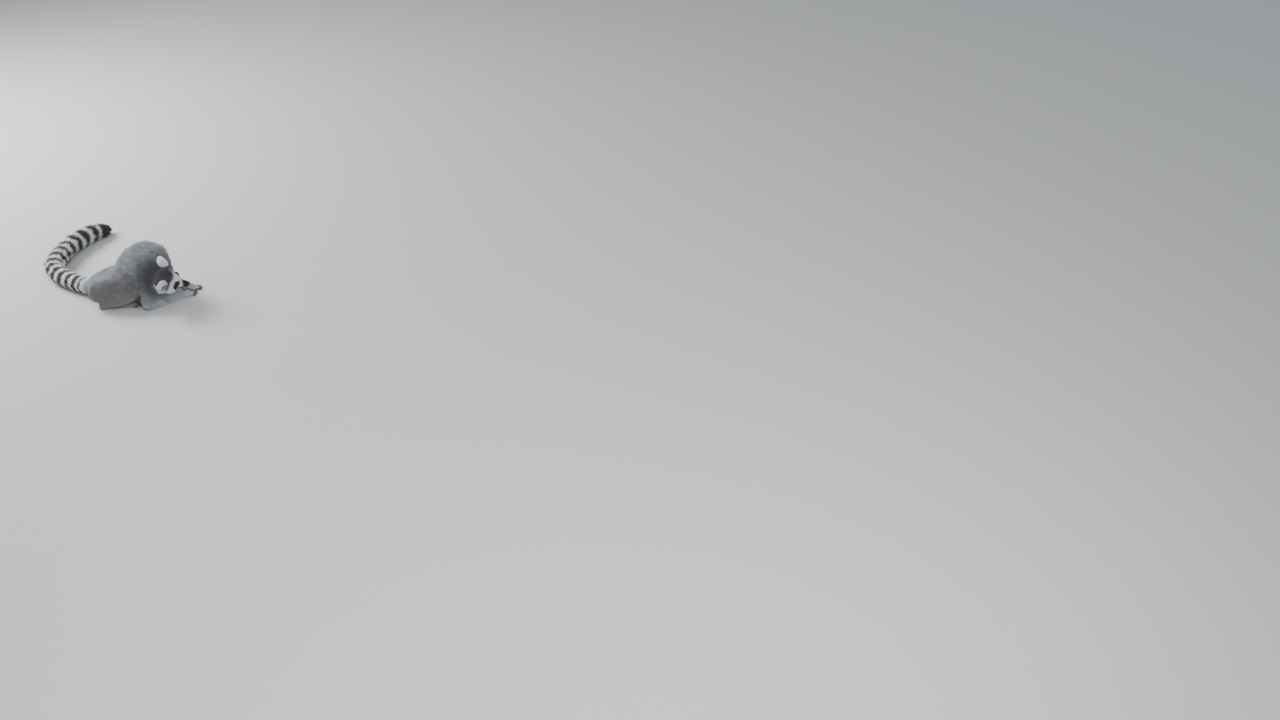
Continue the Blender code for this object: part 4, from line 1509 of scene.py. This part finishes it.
def lid_roots():
    """Roots on both eyes' lids, spread evenly over the sphere on which they lie."""
    rows = []
    count = int(LID_LOCKS * SHARE)
    radius = EYE_RADIUS + LID_GAP + LID_THICKNESS
    for half, side in enumerate(SIDES):
        place = eye_place(side)
        turn_of_eye = place.to_3x3()
        cosines = rng.uniform(math.cos(LID_HAIR_END), math.cos(LID_HAIR_START), count)
        for cosine, turn in zip(cosines, rng.uniform(-math.pi, math.pi, count)):
            angle = math.acos(cosine)
            spot, beyond = (on_lid(angle + more, turn, radius) for more in (0, 0.05))
            way = turn_of_eye @ (beyond - spot).normalized()
            normal = turn_of_eye @ spot.normalized()
            outwards = min(1.0, (angle - LID_HAIR_START) / LENGTHENS_OVER)
            length = (SHORTEST + LENGTHENS * outwards) * MM
            unrolled = (0.25 + 0.5 * half + 0.23 * turn / math.pi, 0.25 + 0.5 * angle / LID_END)
            rows.append((*(place @ spot), *normal, *way, length, *unrolled))
    roots = bristles(rows, lift=(12, 22), bend=(0.6, 0.9), curl=0.08, stretch=(0.8, 1.2))
    roots["width"] = rng.uniform(0.45, 0.65, len(rows)) * MM
    return roots


lid_coat = grown("coat_lids", lid_roots(), SHORT_LOCK, "coat")
print("hair on the lids:", len(lid_coat.data.polygons), "triangles")

# %% [markdown]
# ## Nose, nails and whiskers
#
# The nose is a bare pad, broader above than below, with a nostril that opens forward and curls to the
# side, and a groove down its middle. Lemurs have flat nails, but for one upright claw on the second
# toe, with which they groom.

# %% The nose
NOSE_HALF = Vector((5.5, 5.8, 4.8)) * MM
NOSTRIL_DEPTH, GROOVE_DEPTH = 2.4 * MM, 0.35 * MM
# The rest is in half sizes of the pad.
BROADER_ABOVE, BLUNTNESS = 0.10, 0.24
OPENING_OUT, OPENING_UP, OPENING_SLANT = 0.46, -0.04, 0.35  # the round part of a nostril
OPENING_WIDE, OPENING_HIGH = 0.19, 0.20
CURL_OUT, CURL_UP, CURL_SHARE = 0.76, -0.20, 0.7  # the slit that curls to the side, and its share of depth
CURL_WIDE, CURL_HIGH = 0.22, 0.09
GROOVE_WIDTH, GROOVE_TOP = 0.08, 0.25


def dent(y, z):
    """How deep the nostrils are at a place on the front of the pad, from 0 to 1."""
    depth = 0.0
    for out in (1, -1):
        height = z - OPENING_UP + OPENING_SLANT * (abs(y) - OPENING_OUT)
        hole = ((y - out * OPENING_OUT) / OPENING_WIDE) ** 2 + (height / OPENING_HIGH) ** 2
        curl = ((y - out * CURL_OUT) / CURL_WIDE) ** 2 + ((z - CURL_UP) / CURL_HIGH) ** 2
        depth = max(depth, math.exp(-hole), CURL_SHARE * math.exp(-curl))
    return depth


def nose_pad():
    """The pad, shaped from a ball in the head's own directions."""
    bm = bmesh.new()
    bmesh.ops.create_icosphere(bm, subdivisions=5, radius=1.0)
    for vertex in bm.verts:
        x, y, z = vertex.co
        groove = GROOVE_DEPTH * math.exp(-((y / GROOVE_WIDTH) ** 2)) * (z < GROOVE_TOP)
        push = (dent(y, z) * NOSTRIL_DEPTH + groove) * (x > 0)
        blunt = x - BLUNTNESS * max(x, 0) ** 3
        broad = 1 + BROADER_ABOVE * z
        vertex.co = Vector((blunt * NOSE_HALF.x - push, y * NOSE_HALF.y * broad, z * NOSE_HALF.z))
    bm.transform(Matrix.Translation(NOSE) @ HEAD.to_3x3().to_4x4())
    thing = object_of("nose_pad", bm)
    thing.data.shade_smooth()
    thing.data.materials.append(BARE)
    return thing


pad = nose_pad()
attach(pad, "root")
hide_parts("nose")
print("nose pad of", len(pad.data.polygons), "faces")

# %% [markdown]
# A nail has to lie on the skin, and the skin has been smoothed and drawn in since the digits were laid
# out. So each nail's place is found on the finished skin, by looking straight down at it.

# %% Where the nails sit
ABOVE = Vector((0, 0, 0.03))  # from where the skin is looked for, straight down
SKIN_TREE = BVHTree.FromPolygons(points.tolist(), corners.tolist())
off = [SKIN_TREE.find_nearest(tip + Vector((0, 0, radius)))[3] for _, tip, _, radius in digit_ends()]
print("tips lie within", round(max(off) / MM, 1), "mm of the skin")


def on_top(place):
    """The skin straight below a place, and its normal there."""
    return SKIN_TREE.ray_cast(place + ABOVE, DOWN)[:2]


# %% [markdown]
# A flattened ball that is half sunk in the skin shows as the arched oval plate of a nail. The claw is a
# narrow cone, cut across so that it can bend, and bent forward more and more towards its end.

# %% Nails, and the claw of the second toe
NAIL_LENGTH, NAIL_WIDTH, NAIL_RISE = 4.6 * MM, 3.4 * MM, 1.0 * MM
# How far past the middle of a digit's tip its nail ends, and how far behind that middle the claw
# sits, in radii of the digit.
NAIL_PAST, CLAW_BACK = 0.55, 0.8
CLAW_LENGTH, CLAW_WIDTH = 6.5 * MM, 2.0 * MM
CLAW_SHOWS = 0.38  # how far its middle lies above the skin, as a share of its length
CLAW_LEAN, CLAW_BEND, CLAW_FORWARD = 0.35, 0.9, 0.8  # its slope, its curve, and the strength of both


def nail(bm, tip, way, radius):
    """A flat oval plate, arched across, on the last joint. It ends just before the digit does."""
    spot, normal = on_top(tip - way * (NAIL_LENGTH * 0.5 - radius * NAIL_PAST))
    across = normal.cross(way).normalized()
    turn = Matrix((across.cross(normal), across, normal)).transposed().to_4x4()
    size = Matrix.Diagonal((NAIL_LENGTH / 2, NAIL_WIDTH / 2, NAIL_RISE, 1))
    place = Matrix.Translation(spot) @ turn @ size
    bmesh.ops.create_uvsphere(bm, u_segments=20, v_segments=12, radius=1.0, matrix=place)


def claw(tip, way, radius):
    """An upright spike that bends forward, as a mesh of its own."""
    spot, _ = on_top(tip - way * radius * CLAW_BACK)
    bm = bmesh.new()
    bmesh.ops.create_cone(
        bm,
        cap_ends=True,
        segments=14,
        radius1=CLAW_WIDTH / 2,
        radius2=CLAW_WIDTH / 10,
        depth=CLAW_LENGTH,
        matrix=Matrix.Translation((0, 0, CLAW_LENGTH * CLAW_SHOWS)),
    )
    upright = [edge for edge in bm.edges if abs(edge.verts[0].co.z - edge.verts[1].co.z) > MM]
    bmesh.ops.subdivide_edges(bm, edges=upright, cuts=5)
    for vertex in bm.verts:
        height = max(vertex.co.z, 0) / CLAW_LENGTH
        curve = CLAW_LEAN * height + CLAW_BEND * height**2
        vertex.co += way * curve * CLAW_LENGTH * CLAW_FORWARD + spot
    mesh = bpy.data.meshes.new("claw")
    bm.to_mesh(mesh)
    bm.free()
    return mesh


def nails():
    """All nails and both claws as one mesh, none of it below the floor."""
    bm = bmesh.new()
    for grooms, tip, way, radius in digit_ends():
        if grooms:
            bm.from_mesh(claw(tip, way, radius))
        else:
            nail(bm, tip, way, radius)
    for vertex in bm.verts:
        vertex.co.z = max(vertex.co.z, FLOOR_CLEARANCE)
    bmesh.ops.triangulate(bm, faces=bm.faces[:])
    bmesh.ops.recalc_face_normals(bm, faces=bm.faces[:])
    return object_of("nails", bm)


plates = nails()
plates.data.shade_smooth()
plates.data.materials.append(BARE)
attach(plates, "root")
print("nails of", len(plates.data.polygons), "faces")

# %% [markdown]
# Whiskers are single stiff hairs in rows on the muzzle, with a few more on the brow and cheek. They are
# locks like the rest, only thinner, longer and cut across more often, so that they bend smoothly.

# %% Whiskers
MUZZLE_SPOTS = [(x, z) for x in (0.040, 0.045, 0.050) for z in (-0.0095, -0.0125, -0.0155)]
WHISKER_SPOTS = (  # places in the head's own frame, and the length of each
    *((x, 0.0095, z, 0.034 - 0.5 * (0.052 - x)) for x, z in MUZZLE_SPOTS),
    (0.024, 0.0075, 0.0200, 0.026),
    (0.020, 0.0100, 0.0215, 0.023),
    (0.012, 0.0240, -0.0130, 0.024),
)
WHISKER = lock_shape((0.12, 0.25, 0.4, 0.55, 0.7, 0.85))
WHISKER_WIDTH = 0.34 * MM


def whisker_roots():
    """A root on the skin nearest to each spot, on both sides, with the hair leading back and out."""
    rows = []
    count = 2 * len(WHISKER_SPOTS)
    for x, y, z, length in WHISKER_SPOTS:
        for side in (1, -1):
            spot, normal, _, _ = SKIN_TREE.find_nearest(HEAD @ Vector((x, side * y, z)))
            back = HEAD.to_3x3() @ Vector((-1.0, side * 0.5, -0.25))
            way = (back - normal * back.dot(normal)).normalized()
            rows.append((*spot, *normal, *way, length, (len(rows) + 0.5) / count, 0.5))
    roots = bristles(rows, lift=(52, 66), bend=(0.5, 0.8), curl=0.05, stretch=(0.85, 1.1))
    roots["width"] = np.full(count, WHISKER_WIDTH)
    return roots


whiskers = grown("coat_whiskers", whisker_roots(), WHISKER, "coat")
print("whiskers of", len(whiskers.data.polygons), "faces")

# %% [markdown]
# ## Stage
#
# A pale floor and large soft lights. The main light comes from behind and to the left.

# %% Floor, lights and camera
FLOOR_HALF = 30
FLOOR_TONE, SKY_TONE, SKY_STRENGTH = (0.56, 0.56, 0.55, 1), (0.84, 0.89, 0.95, 1), 0.66
bm = bmesh.new()
bmesh.ops.create_grid(bm, x_segments=1, y_segments=1, size=FLOOR_HALF)
floor = object_of("floor", bm)
floor_material, _, surface = material("floor", 0.9)
surface.inputs["Base Color"].default_value = FLOOR_TONE
floor.data.materials.append(floor_material)

world = bpy.data.worlds.new("studio")
world.use_nodes = True
world.node_tree.nodes["Background"].inputs["Color"].default_value = SKY_TONE
world.node_tree.nodes["Background"].inputs["Strength"].default_value = SKY_STRENGTH
bpy.context.scene.world = world


def area_light(name, place, aim, size, power, colour):
    """A square light at a place, turned to what it aims at."""
    light = bpy.data.lights.new(name, "AREA")
    light.size = size
    light.energy = power
    light.color = colour
    thing = linked(name, light)
    thing.location = place
    thing.rotation_euler = (Vector(place) - Vector(aim)).to_track_quat("Z", "Y").to_euler()


AIM = (0, 0, 0.05)
area_light("key", (-2.1, 1.1, 1.9), AIM, 1.3, 165, (0.96, 0.98, 1.0))
area_light("fill", (1.8, -2.2, 1.8), AIM, 2.2, 62, (0.94, 0.97, 1.0))

CAMERA_PLACE = Vector((1.6287, -3.4401, 1.708))
CAMERA_TILT = math.radians(30.6)  # how far it looks down
camera = linked("camera", bpy.data.cameras.new("camera"))
camera.data.lens = 33.75
camera.data.sensor_width = 36
camera.location = CAMERA_PLACE
camera.rotation_euler = (math.radians(90) - CAMERA_TILT, 0, 0)
bpy.context.scene.camera = camera
print("stage set")
